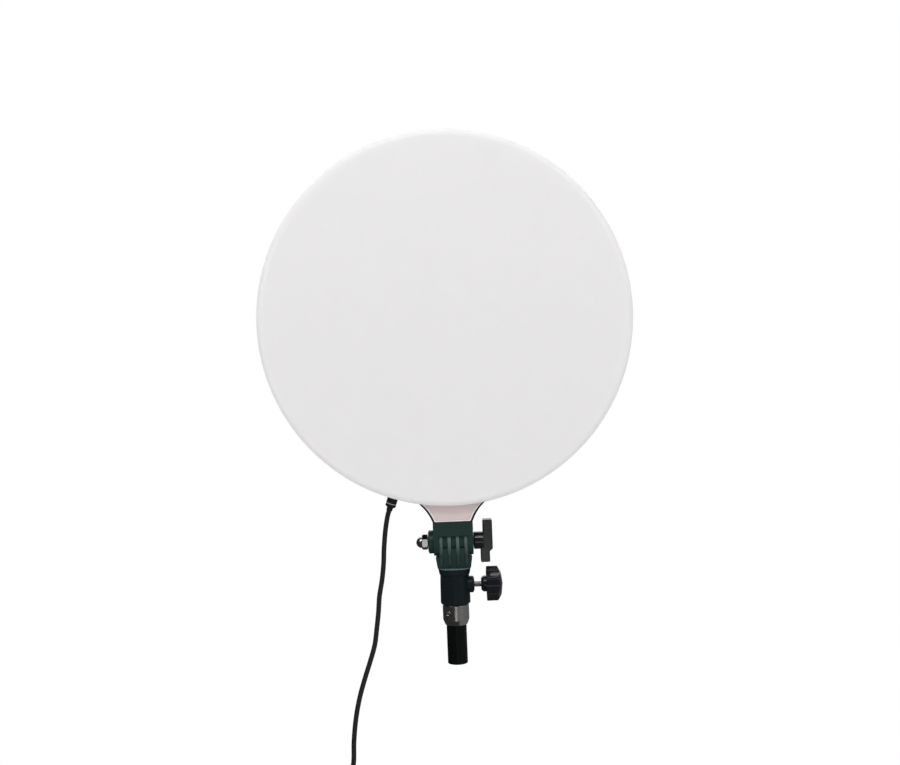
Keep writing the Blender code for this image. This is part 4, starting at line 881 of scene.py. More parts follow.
@dataclass
class StandTop:
    """The end of the stand tube, its plug, and the turned collar with the spigot."""

    wall: float = 1.2 * MM
    lip: float = 0.3 * MM
    groove_depth: float = 1.1 * MM
    groove_width: float = 9.0 * MM
    spigot_radius: float = 8.0 * MM
    spigot_length: float = 27.0 * MM
    taper: float = 5.0 * MM
    nose_radius: float = 10.9 * MM
    key_radius: float = 1.0 * MM
    key_depth: float = 1.2 * MM
    dish_depth: float = 1.6 * MM
    dish_edge: float = 2.2 * MM
    sink_depth: float = 1.4 * MM

    def build(self) -> None:
        """Build the pieces of the stand."""
        self.tube()
        self.collar()
        self.set_screw()

    def tube(self) -> None:
        """The coated tube and the plug that closes its end."""
        box = Extent.of("stand_tube")
        outer, inner = box.size.x / 2, box.size.x / 2 - self.wall
        profile = rounded(
            [
                (outer, box.high.z, self.lip), (outer, box.low.z, self.lip), (inner, box.low.z, self.lip),
                (inner, box.high.z, self.lip),
            ]
        )
        shown(Shape.turned(profile), "tube_coated", TUBE_COAT, Body.STAND, "stand_tube")
        plug = Extent.of("tube_plug")
        radius = plug.size.x / 2
        dish = lathe_profile(
            (0, plug.low.z + self.dish_depth, 0),
            (radius - self.dish_edge, plug.low.z + self.dish_depth, 0.6 * MM),
            (radius - 1.6 * MM, plug.low.z, 0.4 * MM), (radius, plug.low.z, 0.4 * MM),
            (radius, plug.high.z, 0.4 * MM), (0, plug.high.z, 0),
        )
        shown(Shape.turned(dish), "tube_plug_dished", GRIP_ABS, Body.STAND, "tube_plug")

    def collar(self) -> None:
        """The collar with its chamfered nose, and the grooved spigot above it."""
        tube, box = Extent.of("stand_tube"), Extent.of("spigot_collar")
        radius, low, top = box.size.x / 2, box.low.z, box.high.z
        step = top - self.spigot_length
        clamp = clamp_height()
        waist = self.spigot_radius - self.groove_depth
        upper, lower = clamp + self.groove_width / 2, clamp - self.groove_width / 2
        slope = self.groove_depth
        roof = tube.high.z + GAP
        profile = lathe_profile(
            (0, top, 0), (self.spigot_radius - slope, top, 0.3 * MM),
            (self.spigot_radius, top - slope, 0.3 * MM), (self.spigot_radius, upper + slope, 0.3 * MM),
            (waist, upper, 0.4 * MM), (waist, lower, 0.4 * MM), (self.spigot_radius, lower - slope, 0.3 * MM),
            (self.spigot_radius, step, 0), (radius, step, 0.6 * MM), (radius, low + self.taper, 0.8 * MM),
            (self.nose_radius, low, 0.3 * MM), (tube.size.x / 2 + GAP, low, 0),
            (tube.size.x / 2 + GAP, roof, 0), (0, roof, 0),
        )
        collar = Shape.turned(profile, 128)
        screw = Extent.of("collar_set_screw")
        outward = Vector((screw.centre.x, screw.centre.y, 0)).normalized()
        middle = Vector((0, 0, screw.centre.z))
        mouth = middle + outward * (radius + MM)
        hole = Shape.rod(middle + outward * (tube.size.x / 2), mouth, screw.size.z / 2 + GAP, 32)
        seat, deep = screw.size.z / 2, self.sink_depth
        sink = Shape.turned([(0, 0), (seat + GAP, 0), (seat + 1.6 * MM, deep), (0, deep)], 32)
        sink.moved(aimed(outward, middle + outward * (radius - 0.6 * MM)))
        collar.cut(hole, sink)
        shown(collar, "collar_turned", COLLAR_STEEL, Body.STAND, "spigot_collar")

    def set_screw(self) -> None:
        """The grub screw with its hexagon socket."""
        box = Extent.of("collar_set_screw")
        outward = Vector((box.centre.x, box.centre.y, 0)).normalized()
        reach = Extent.of("spigot_collar").size.x / 2
        root = Extent.of("stand_tube").size.x / 2 + GAP
        middle = Vector((0, 0, box.centre.z))
        radius, length = box.size.z / 2, reach - root
        profile = lathe_profile((0, 0, 0), (radius, 0, 0.2 * MM), (radius, length, 0.3 * MM), (0, length, 0))
        screw = Shape.turned(profile, 32).moved(aimed(outward, middle + outward * root))
        key_foot, key_mouth = middle + outward * (reach - self.key_depth), middle + outward * (reach + MM)
        screw.cut(Shape.rod(key_foot, key_mouth, self.key_radius, 6))
        shown(screw, "grub_screw", SCREW_STEEL, Body.STAND, "collar_set_screw")


@dataclass
class TiltBracket:
    """The lower half of the hinge: ribbed fork, ledge, round socket and the clamp's boss."""

    pitch: float = 4.1 * MM
    rib: float = 3.5 * MM
    lobe: float = 11.0 * MM
    core_half_depth: float = 8.8 * MM
    cradle: float = 10.7 * MM
    ledge_height: float = 6.5 * MM
    ledge_half_width: float = 15.9 * MM
    ledge_corner: float = 12.0 * MM
    bead_height: float = 0.8 * MM
    bead_proud: float = 0.15 * MM
    shoulder_half_width: float = 17.9 * MM
    shoulder_half_depth: float = 9.5 * MM
    root_gap: float = 0.35 * MM
    socket_radius: float = 14.6 * MM
    boss_radius: float = 8.1 * MM
    bore: float = 8.3 * MM
    ledge_drop: float = 25.5 * MM
    ledge_taper: float = 0.925
    shoulder_drop: float = 13.5 * MM
    screw_room: float = 3.2 * MM
    boss_start: float = 4.0 * MM
    # The cradle's front edge, from its hollow outwards: Y, and how far below the tilt axis
    cradle_edge: tuple[Point, ...] = ((3.0, 10.7), (-7.9, 7.5), (-10.4, 5.4), (-10.4, 8.0))
    # The ribs' front, from the lobe downwards: Y, and how far above the tilt axis
    rib_front: tuple[Point, ...] = ((-8.6, 8.2), (-10.3, 6.2), (-11.0, 4.4))

    def build(self) -> None:
        """Build the pieces of the bracket."""
        self.fork()
        self.socket()
        self.bead()
        carried("clamp_insert", BRASS)

    def fork(self) -> None:
        """Four ribs with round fingers, the cradle between them and the shoulders."""
        box = Extent.of("tilt_bracket")
        tilt = tilt_height()
        ledge_top = tilt - self.ledge_drop
        half = 3 * self.pitch + self.rib / 2
        deep, foot = self.core_half_depth, ledge_top - 0.1 * MM
        edge = [(y * MM, tilt - drop * MM) for y, drop in self.cradle_edge]
        core = Shape.plate(
            [(deep, foot), (deep, tilt - self.cradle), *edge, (-deep, foot)],
            2 * half - 0.4 * MM,
        ).moved(across(0))
        core.cut(Shape.rod((-2 * half, 0, tilt), (2 * half, 0, tilt), self.cradle, 96))
        ribs = Shape()
        for place in (-3, -1, 1, 3):
            outline = arc((0, tilt), self.lobe, 0, 125, 24)
            outline += [(y * MM, tilt + z * MM) for y, z in self.rib_front]
            outline += [(-self.lobe, foot + 5 * MM), (-deep, foot), (deep, foot), (self.lobe, foot + 5 * MM)]
            rib = Shape.plate(outline, self.rib).softened(0.7 * MM)
            ribs.with_shells(rib.moved(across(place * self.pitch)))
        low, wide = self.ledge_half_width + 0.2 * MM, self.shoulder_half_width
        top = tilt - self.shoulder_drop - self.root_gap
        shoulder = Shape.plate(
            rounded([(low, foot, 0), (wide, top, 1.2 * MM), (-wide, top, 1.2 * MM), (-low, foot, 0)]),
            2 * self.shoulder_half_depth,
        )
        shoulder.softened(1.2 * MM).moved(upright(0))
        reach = box.size.x
        ribs.cut(Shape.rod((-reach, 0, tilt), (reach, 0, tilt), BOLT_ROOM))
        shown(ribs, "bracket_ribs", RIB_NYLON, Body.BRACKET, "tilt_bracket", crease=28)
        fork = core.joined(shoulder)
        shown(fork, "bracket_fork", FORK_NYLON, Body.BRACKET, "tilt_bracket", crease=28)

    def socket(self) -> None:
        """The round socket over the spigot, with the ledge on top and the boss for the clamp screw."""
        box = Extent.of("tilt_bracket")
        clamp = clamp_height()
        tilt = tilt_height()
        roof = tilt - self.ledge_drop - self.ledge_height + 0.4 * MM
        profile = lathe_profile(
            (0, roof, 0), (self.socket_radius - 0.6 * MM, roof, 0.2 * MM),
            (self.socket_radius - 0.3 * MM, clamp + 4 * MM, 12 * MM), (self.socket_radius, box.low.z, 1.6 * MM),
            (0, box.low.z, 0),
        )
        socket = Shape.turned(profile, 128)
        end = Extent.of("clamp_insert").high.x
        reach, start = self.boss_radius, self.boss_start
        boss_profile = lathe_profile(
            (0, start, 0), (reach, start, 0), (reach, end - 1.0 * MM, 1.0 * MM),
            (reach - 2.4 * MM, end, 0.8 * MM), (0, end, 0),
        )
        boss = Shape.turned(boss_profile, 64).moved(aimed(RIGHT, (0, 0, clamp)))
        ledge_outline = oblong(2 * self.ledge_half_width, 2 * self.socket_radius, self.ledge_corner)
        ledge = Shape.plate(ledge_outline, self.ledge_height).tapered(self.ledge_taper).softened(1.0 * MM, 4)
        ledge.moved(Matrix.Translation((0, 0, tilt - self.ledge_drop - self.ledge_height / 2)))
        socket.joined(boss, ledge)
        insert = Extent.of("clamp_insert")
        seat, past = insert.size.z / 2 + GAP, end + MM
        stepped = [
            (0, 2 * MM), (self.screw_room, 2 * MM), (self.screw_room, insert.low.x - GAP),
            (seat, insert.low.x - GAP), (seat, past), (0, past),
        ]
        socket.cut(
            Shape.rod((0, 0, box.low.z - MM), (0, 0, roof - 0.2 * MM), self.bore, 96),
            Shape.turned(stepped, 48).moved(aimed(RIGHT, (0, 0, clamp))),
        )
        shown(socket, "bracket_socket", SOCKET_NYLON, Body.BRACKET, "tilt_bracket", crease=28)

    def bead(self) -> None:
        """A thin pale bead between the fork and its ledge: a painted highlight along the ledge's top edge."""
        width, depth = self.ledge_half_width + self.bead_proud, self.socket_radius + self.bead_proud
        bead = Shape.plate(oblong(2 * width, 2 * depth, self.ledge_corner), self.bead_height).softened(0.25 * MM)
        bead.moved(Matrix.Translation((0, 0, tilt_height() - self.ledge_drop)))
        shown(bead, "bracket_bead", BEAD_PAINTED_HIGHLIGHT, Body.BRACKET, "tilt_bracket")


@dataclass
class ClampKnob:
    """The star knob and its threaded steel screw."""

    lobes: int = 6
    radius: float = 17.2 * MM
    lobe_depth: float = 3.4 * MM
    hub_radius: float = 7.8 * MM
    star_start: float = 30.8 * MM
    rim_end: float = 41.5 * MM
    thread_pitch: float = 1.0 * MM
    thread_depth: float = 0.35 * MM
    thread_crest: tuple[float, float] = (0.45, 0.55)
    lead_in: float = 0.8 * MM
    crown_radius: float = 11.0 * MM
    crown_drop: float = 1.4 * MM

    def build(self) -> None:
        """Build the screw and the knob."""
        self.screw()
        self.knob()

    def screw(self) -> None:
        """The screw's shank, with the crests of its thread as fine ridges."""
        box = Extent.of("clamp_screw")
        radius, height = box.size.z / 2, box.centre.z
        profile: list[Point] = [(0, 0), (radius - self.lead_in, 0)]
        along = self.lead_in
        while along < box.size.x - self.thread_pitch:
            profile += [
                (radius - self.thread_depth, along), (radius, along + self.thread_crest[0] * self.thread_pitch),
                (radius, along + self.thread_crest[1] * self.thread_pitch),
            ]
            along += self.thread_pitch
        profile += [(radius - self.thread_depth, along), (radius - self.thread_depth, box.size.x), (0, box.size.x)]
        screw = Shape.turned(profile, 48).moved(aimed(RIGHT, (box.low.x, 0, height)))
        shown(screw, "clamp_screw_threaded", SCREW_STEEL, Body.CLAMP, "clamp_screw", crease=60)

    def knob(self) -> None:
        """The lobed grip with its domed face and round hub."""
        box, screw = Extent.of("star_knob"), Extent.of("clamp_screw")
        height, end = screw.centre.z, box.high.x
        length = end - self.star_start
        star = Shape.plate(lobed(self.radius, self.lobe_depth, self.lobes, 20), length)
        star.moved(across((self.star_start + end) / 2, 0, height))
        rim = self.rim_end - self.star_start
        crown = lathe_profile(
            (0, 0, 0), (self.radius + HAIR, 0, 1.3 * MM), (self.radius + HAIR, rim, 1.2 * MM),
            (self.crown_radius, length - self.crown_drop, 6.0 * MM), (0, length, 0),
            step=8,
        )
        star.within(Shape.turned(crown, 120).moved(aimed(RIGHT, (self.star_start, 0, height))))
        start = box.low.x
        hub_profile = lathe_profile(
            (0, start, 0), (self.hub_radius - 1.8 * MM, start, 0.5 * MM),
            (self.hub_radius, start + 2.2 * MM, 1.2 * MM), (self.hub_radius, self.star_start + 2 * MM, 0),
            (0, self.star_start + 2 * MM, 0),
        )
        hub = Shape.turned(hub_profile, 64).moved(aimed(RIGHT, (0, 0, height)))
        hole = Shape.rod((start - MM, 0, height), (screw.high.x + GAP, 0, height), screw.size.z / 2 + GAP)
        knob = star.joined(hub).cut(hole)
        shown(knob, "star_grip", GRIP_ABS, Body.CLAMP, "star_knob", crease=26)


@dataclass
class Knuckle:
    """The upper half of the hinge, moulded to go up into the neck."""

    half_width: float = 19.4 * MM
    half_depth: float = 13.5 * MM
    block_rise: float = 12.5 * MM
    block_top: float = 20.7 * MM
    lip_rise: float = 7.0 * MM
    lip_wall: float = 1.6 * MM
    tongue_half_width: float = 17.1 * MM
    tongue_front: float = -10.2 * MM
    tongue_back: float = 10.8 * MM
    tongue_top: float = 33.7 * MM
    finger: float = 4.66 * MM
    pitch: float = 4.1 * MM
    finger_lobe: float = 10.4 * MM
    brow: float = 13.2 * MM
    brow_rise: float = 7.4 * MM
    brow_foot: float = 4.7 * MM
    cheek_lobe: float = 13.5 * MM
    cheek_start: float = 14.15 * MM
    draft: float = 0.06 * MM
    boss_radius: float = 11.3 * MM
    boss_length: float = 5.2 * MM

    def build(self) -> None:
        """Build the knuckle and dress what is on its pin."""
        tilt = tilt_height()
        half, deep = self.half_width, self.half_depth
        root = tilt + self.block_rise + MM
        block = Shape.block((-half, -deep, tilt + self.block_rise), (half, deep, tilt + self.block_top))
        block.softened(0.5 * MM)
        tongue = Shape.block(
            (-self.tongue_half_width, self.tongue_front, tilt + self.block_top - MM),
            (self.tongue_half_width, self.tongue_back, tilt + self.tongue_top),
        )
        side = half - 2 * self.draft
        lip = Shape.block((-side, self.draft - deep, tilt + self.lip_rise), (side, self.lip_wall - deep, root))
        lip.softened(0.5 * MM)
        parts = [tongue, lip]
        for place in (-2, 0, 2):
            outline = arc((0, tilt), self.finger_lobe, 180, 360, 40) + [(self.finger_lobe, root), (-self.brow, root)]
            outline += [(-self.brow, tilt + self.brow_rise), (-self.finger_lobe, tilt + self.brow_foot)]
            parts.append(Shape.plate(outline, self.finger).softened(0.5 * MM).moved(across(place * self.pitch)))
        width = half - self.cheek_start
        for side in (-1, 1):
            outline = arc((0, tilt), self.cheek_lobe, 180, 360, 40) + [(deep, root), (-deep, root)]
            cheek = Shape.plate(outline, width).softened(0.5 * MM)
            parts.append(cheek.moved(across(side * (half - width / 2 - self.draft))))
        boss_end = half + self.boss_length
        profile = lathe_profile(
            (0, half - MM, 0), (self.boss_radius, half - MM, 0),
            (self.boss_radius, boss_end - 0.9 * MM, 0.6 * MM),
            (self.boss_radius - 2.2 * MM, boss_end, 0.6 * MM), (0, boss_end, 0),
        )
        parts.append(Shape.turned(profile, 80).moved(aimed(LEFT, (0, 0, tilt))))
        knuckle = block.joined(*parts)
        washer = Extent.of("handle_washer")
        knuckle.cut(
            Shape.rod((-boss_end - MM, 0, tilt), (half + MM, 0, tilt), BOLT_ROOM),
            Shape.rod((washer.low.x - GAP, 0, tilt), (half + MM, 0, tilt), washer.size.z / 2 + GAP),
        )
        shown(knuckle, "knuckle_moulded", FORK_NYLON, Body.HEAD, "neck_knuckle", crease=28)
        carried("handle_washer", SCREW_STEEL)
        carried("tilt_bolt", SCREW_STEEL)


@dataclass
class CapNut:
    """The plated acorn nut on the tilt bolt's left end."""

    flats: float = 13.0 * MM
    hex_length: float = 5.8 * MM
    dome_radius: float = 5.6 * MM
    chamfer: float = 0.9 * MM
    bolt_reach: float = 1.9 * MM

    def build(self) -> None:
        """Build the nut."""
        box, tilt = Extent.of("cap_nut"), tilt_height()
        corner = self.flats / sqrt(3)
        turns = [tau * (k + 0.5) / 6 for k in range(6)]
        outline = [(corner * cos(turn), corner * sin(turn)) for turn in turns]
        hexagon = Shape.plate(outline, self.hex_length).moved(Matrix.Translation((0, 0, self.hex_length / 2)))
        rim = self.flats / 2 - 0.1 * MM
        cone = [
            (0, 0), (rim, 0), (corner + 0.1 * MM, self.chamfer),
            (corner + 0.1 * MM, self.hex_length - self.chamfer), (rim - 0.3 * MM, self.hex_length),
            (0, self.hex_length),
        ]
        hexagon.within(Shape.turned(cone, 96))
        dome_profile: list[Point] = [(0, self.hex_length + self.dome_radius)]
        dome_profile += [(x, self.hex_length + y) for x, y in reversed(arc((0, 0), self.dome_radius, 0, 84, 16))]
        dome_profile += [(self.dome_radius, self.hex_length - MM), (0, self.hex_length - MM)]
        nut = hexagon.joined(Shape.turned(dome_profile, 64))
        nut.cut(Shape.rod((0, 0, -MM), (0, 0, self.hex_length + self.bolt_reach), BOLT_ROOM))
        nut.moved(aimed(LEFT, (box.high.x, 0, tilt)))
        shown(nut, "acorn_nut", CHROME_PLATE, Body.HEAD, "cap_nut", crease=26)


@dataclass
class TiltHandle:
    """The stepped T handle that tightens the hinge."""

    hub_radius: float = 8.5 * MM
    hub_length: float = 9.8 * MM
    thickness: float = 11.0 * MM
    upper_start: float = 28.8 * MM
    lower_start: float = 26.2 * MM
    lower_end: float = 35.2 * MM
    step: float = 9.8 * MM
    corner: float = 1.3 * MM

    def build(self) -> None:
        """Build the handle."""
        box, tilt = Extent.of("t_handle"), tilt_height()
        top, bottom, end = box.high.z - tilt, box.low.z - tilt, box.high.x
        corner = self.corner
        outline = rounded(
            [
                (self.upper_start, top, corner), (self.upper_start, 0.7 * MM, 0),
                (self.lower_start, -self.step, 0), (self.lower_start, bottom, corner),
                (self.lower_end, bottom, corner), (self.lower_end, -self.step - 0.6 * MM, 1.0 * MM),
                (end, -self.step + 1.8 * MM, 1.0 * MM), (end, top, corner),
            ]
        )
        wings = Shape.plate(outline, self.thickness).softened(1.6 * MM, 4).moved(upright(0, 0, tilt))
        start = box.low.x
        profile = lathe_profile(
            (0, start, 0), (self.hub_radius - 0.8 * MM, start, 0.3 * MM),
            (self.hub_radius, start + 1.2 * MM, 0.4 * MM), (self.hub_radius, self.upper_start + MM, 0.9 * MM),
            (0, self.upper_start + MM, 0),
        )
        hub = Shape.turned(profile, 64).moved(aimed(RIGHT, (0, 0, tilt)))
        handle = wings.joined(hub)
        handle.cut(Shape.rod((start - MM, 0, tilt), (start + self.hub_length, 0, tilt), BOLT_ROOM))
        shown(handle, "t_grip", HANDLE_ABS, Body.HANDLE, "t_handle", crease=26)


@dataclass
class Diffuser:
    """The milky front cover, which wraps the edge with no bezel."""

    wall: float = 2.0 * MM
    dome: float = 1.0 * MM
    corner: float = 7.0 * MM
    rings: int = 8
    flat_share: float = 0.84

    def build(self) -> None:
        """Build the cover."""
        box = Extent.of("front_cover")
        radius, front, skirt = box.size.x / 2, -box.low.y, -box.high.y

        def face(share: float) -> float:
            """The dome's height at a share of the radius."""
            return front - self.dome * share**2

        shares = [self.flat_share * k / self.rings for k in range(self.rings + 1)]
        corners: list[Corner] = [(radius * share, face(share), 0) for share in shares]
        corners += [
            (radius, face(1), self.corner), (radius, skirt, 0.4 * MM), (radius - self.wall, skirt, 0.4 * MM),
            (radius - self.wall, face(1) - self.wall, self.corner - self.wall),
        ]
        corners += [(radius * share, face(share) - self.wall, 0) for share in reversed(shares)]
        cover = Shape.turned(lathe_profile(*corners, step=6), DISC_STEPS)
        cover.moved(aimed(FRONT, (0, 0, box.centre.z)))
        shown(cover, "opal_cover", OPAL, Body.HEAD, "front_cover")
        carried("led_board", SHAFT_ALUMINIUM)
        carried("reflector_ring", CARD)


@dataclass
class Housing:
    """The black pan behind the diffuser, with its flared neck, control box, vents and screws."""

    wall: float = 2.4 * MM
    depth: float = 13.5 * MM
    pan_radius: float = 173.0 * MM
    pan_corner: float = 7.0 * MM
    rim_fit: float = 0.4 * MM
    neck_wall: float = 1.6 * MM
    neck_half_width: float = 19.4 * MM
    flare: float = 45.0 * MM
    flare_start: float = radians(20.0)
    flare_rise: float = 17.0 * MM
    plate_recess: float = 1.0 * MM
    plate_thickness: float = 2.0 * MM
    rim_width: float = 1.1 * MM
    rim_height: float = 0.5 * MM
    box_width: float = 124.0 * MM
    box_height: float = 62.0 * MM
    box_corner: float = 14.0 * MM
    box_depth: float = 8.0 * MM
    box_drop: float = 95.0 * MM
    vent_rise: float = 70.0 * MM
    vent_spread: float = 42.0 * MM
    vent_pitch: float = 8.0 * MM
    vent_length: float = 34.0 * MM
    vent_width: float = 3.0 * MM
    vent_count: int = 5
    cover_wall: float = 2.0 * MM
    pan_step: float = 2.6 * MM
    rim_depth: float = 6.0 * MM
    shoulder_inset: float = 0.6 * MM
    shoulder_height: float = 2.5 * MM
    neck_steps: int = 24
    dial_hole: float = 4.3 * MM
    screw_seat: float = 1.8 * MM
    switch_half: tuple[float, float] = (6.7 * MM, 9.8 * MM)
    mouth_radius: float = 4.3 * MM
    mouth_reach: tuple[float, float] = (0.167, 0.179)
    shank: float = 1.5 * MM
    head_height: float = 1.5 * MM
    cross: tuple[float, float, float] = (1.5 * MM, 0.3 * MM, 1.0 * MM)

    def __post_init__(self) -> None:
        """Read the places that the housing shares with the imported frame."""
        cover = Extent.of("front_cover")
        self.centre = cover.centre.z
        self.radius = cover.size.x / 2
        self.skirt = -cover.high.y
        self.neck_bottom = Extent.of("rear_housing").low.z
        self.box_z = self.centre - self.box_drop
        self.box_face = self.depth + self.box_depth

    def build(self) -> None:
        """Build the housing, its plate and its screws."""
        self.pan()
        self.plate()
        self.screws()

    def neck_outline(self, inset: float, top: float) -> list[Point]:
        """The neck's (X, Z) outline.

        Args:
            inset: how far it is drawn in from the outside.
            top: the height at which it is closed.

        Returns:
            The outline's points.
        """
        right: list[Point] = []
        over, along = self.flare * cos(self.flare_start), self.flare * sin(self.flare_start)
        for k in range(self.neck_steps + 1):
            rise = self.flare_rise * k / self.neck_steps
            half = self.neck_half_width + over - sqrt(self.flare**2 - (rise + along) ** 2)
            right.append((half - inset, self.neck_bottom + rise))
        knee = right[-1]
        slope = (self.flare_rise + along) / sqrt(self.flare**2 - (self.flare_rise + along) ** 2)
        right = [point for point in right if point[1] <= top]
        if top > knee[1]:
            right.append((knee[0] + slope * (top - knee[1]), top))
        return right + [(-x, z) for x, z in reversed(right)]

    def pan(self) -> None:
        """The pan, joined with the neck and control box, with every opening cut."""
        rim = self.radius - self.cover_wall - self.rim_fit
        inside = self.depth - self.wall
        shoulder, front = self.radius - self.shoulder_inset, self.skirt - GAP
        under = front - self.shoulder_height
        corners: list[Corner] = [
            (0, -inside, 0), (self.pan_radius - self.wall, -inside, self.pan_corner - self.wall),
            (self.pan_radius - self.wall, self.pan_step, 0), (rim - self.wall, under, 0),
            (rim - self.wall, self.skirt + self.rim_depth, 0.3 * MM), (rim, self.skirt + self.rim_depth, 0.3 * MM),
            (rim, front, 0), (shoulder, front, 0.4 * MM), (shoulder, under, 0.8 * MM),
            (self.pan_radius, self.pan_step, 1.0 * MM), (self.pan_radius, -self.depth, self.pan_corner),
            (0, -self.depth, 0),
        ]
        pan = Shape.turned(lathe_profile(*corners, step=8), DISC_STEPS)
        pan.moved(aimed(FRONT, (0, 0, self.centre)))
        pan.joined(self.neck(), self.control_box())
        pan.cut(*self.neck_openings(), self.box_room())
        pan.cut(*self.openings())
        shown(pan, "housing_shell", HOUSING_ABS, Body.HEAD, "rear_housing", crease=28)

    def neck(self) -> Shape:
        """The solid neck, its upper part hollowed to the pan's round.

        Returns:
            The neck.
        """
        top = self.centre - self.pan_radius + 2 * self.pan_corner
        depth = 2 * self.depth - 0.5 * MM
        neck = Shape.plate(self.neck_outline(0, top), depth).softened(0.6 * MM, 3, 60)
        neck.moved(upright(depth / 2 - self.depth))
        beyond = (0, -self.depth - MM, self.centre)
        step = self.skirt - GAP - 0.4 * MM
        inner = self.depth - self.wall / 2
        neck.cut(
            Shape.rod((0, -step, self.centre), beyond, self.radius + GAP, DISC_STEPS),
            Shape.rod((0, inner, self.centre), beyond, self.pan_radius - self.wall / 2, DISC_STEPS),
        )
        return neck

    def control_box(self) -> Shape:
        """The raised box on the back, with soft edges.

        Returns:
            The box.
        """
        rise = self.box_depth + self.wall / 2
        box = Shape.plate(oblong(self.box_width, self.box_height, self.box_corner, 6), rise)
        box.softened(1.6 * MM, 4).moved(upright(self.box_face - rise / 2, 0, self.box_z))
        return box

    def box_room(self) -> Shape:
        """The room inside the control box.

        Returns:
            The tool that cuts it.
        """
        width, height = self.box_width - 2 * self.wall, self.box_height - 2 * self.wall
        depth = self.box_depth + MM
        room = Shape.plate(oblong(width, height, self.box_corner - self.wall), depth)
        return room.moved(upright(self.box_face - self.wall - depth / 2, 0, self.box_z))

    def neck_openings(self) -> list[Shape]:
        """The recess for the plate, the room behind it and the slot for the knuckle's tongue.

        Returns:
            The tools that cut them.
        """
        rim = self.skirt - GAP
        front_depth = self.depth + MM - rim
        front = Shape.plate(self.neck_outline(self.neck_wall, self.centre - self.radius + 4 * MM), front_depth)
        front.moved(upright(-rim - front_depth / 2))
        inside = self.depth - self.wall
        depth = rim + inside
        hollow = Shape.plate(self.neck_outline(self.neck_wall, self.centre - self.radius - GAP), depth + 0.2 * MM)
        hollow.moved(upright(inside - depth / 2 - 0.1 * MM))
        slot_half = self.neck_half_width - self.neck_wall
        slot = Shape.block(
            (-slot_half, -self.depth - MM, self.neck_bottom - MM), (slot_half, inside, self.neck_bottom + MM)
        )
        return [front, hollow, slot]

    def openings(self) -> list[Shape]:
        """Vents, screw seats, holes for the controls and the hole for the power jack.

        Returns:
            The tools that cut them.
        """
        inner = self.box_face - self.wall - MM
        tools = Shape()
        for side in (-1, 1):
            for k in range(self.vent_count):
                outline = oblong(self.vent_length, self.vent_width, self.vent_width / 2.05, 15)
                slot = Shape.plate(outline, 3 * self.wall)
                z = self.centre + self.vent_rise + (k - (self.vent_count - 1) / 2) * self.vent_pitch
                tools.with_shells(slot.moved(upright(self.depth, side * self.vent_spread, z)))
            dial = Extent.of("brightness_shaft" if side > 0 else "colour_shaft").centre
            mouth = (dial.x, self.box_face + MM, dial.z)
            tools.with_shells(Shape.rod((dial.x, inner, dial.z), mouth, self.dial_hole))
        for k in range(1, 7):
            screw = Extent.of(f"housing_screw_{k}")
            low = (screw.centre.x, self.depth - self.screw_seat, screw.centre.z)
            high = (screw.centre.x, self.depth + MM, screw.centre.z)
            tools.with_shells(Shape.rod(low, high, screw.size.x / 2 + GAP, 40))
        middle, (half_x, half_z) = Extent.of("switch_body").centre.z, self.switch_half
        corner = (half_x, self.box_face + MM, middle + half_z)
        tools.with_shells(Shape.block((-half_x, inner, middle - half_z), corner))
        jack = Extent.of("dc_jack").centre
        outward = (jack - Vector((0, jack.y, self.centre))).normalized()
        middle = Vector((0, jack.y, self.centre))
        ends = [middle + outward * reach for reach in self.mouth_reach]
        return [tools, Shape.rod(*ends, self.mouth_radius)]

    def plate(self) -> None:
        """The pale plate in the front of the neck, with its softened border."""
        front = self.depth - self.plate_recess
        top = self.centre - self.radius + 3 * MM
        back = self.plate_thickness - front
        sunk = self.rim_height
        middle = Shape.plate(self.neck_outline(self.neck_wall + GAP + self.rim_width, top), back + front - sunk)
        middle.moved(upright((back - front + sunk) / 2, 0, self.rim_width))
        rim = Shape.plate(self.neck_outline(self.neck_wall + GAP, top), self.plate_thickness)
        rim.softened(0.45 * MM, 3, 50).moved(upright(self.plate_thickness / 2 - front))
        inner = self.neck_outline(self.neck_wall + GAP + self.rim_width - 0.02 * MM, top + 4 * MM)
        room = Shape.plate(inner, 3 * self.plate_thickness).moved(upright(-front, 0, self.rim_width))
        # The rim's lighter finish is a painted highlight, and the middle's darker one is painted shade under the disc
        for piece, name, finish in ((rim.cut(room), "neck_plate_rim", PALE_RIM_PAINTED_HIGHLIGHT), (middle, "neck_plate", PALE_ABS)):
            behind, before = (0, 2 * self.plate_thickness - front, self.centre), (0, -front - MM, self.centre)
            piece.cut(Shape.rod(behind, before, self.radius + GAP, DISC_STEPS))
            shown(piece, name, finish, Body.HEAD, "neck_cover")

    def screws(self) -> None:
        """Pan head screws with crossed slots."""
        nodes = [f"housing_screw_{k}" for k in range(1, 7)] + ["neck_screw_left", "neck_screw_right"]
        for node in nodes:
            box = Extent.of(node)
            radius, length = box.size.x / 2, box.size.y
            profile = lathe_profile(
                (0, 0, 0), (radius, 0, 1.0 * MM), (radius, -self.head_height, 0.1 * MM),
                (self.shank, -self.head_height, 0), (self.shank, -length + 0.8 * MM, 0.2 * MM), (0, -length, 0),
            )
            screw = Shape.turned(profile, 32)
            reach, width, depth = self.cross
            screw.cut(
                Shape.block((-reach, -width, -depth), (reach, width, depth)),
                Shape.block((-width, -reach, -depth), (width, reach, depth)),
            )
            screw.moved(aimed(BACK, (box.centre.x, box.high.y, box.centre.z)))
            shown(screw, f"{node}_crossed", BACK_SCREW_STEEL, Body.HEAD, node)


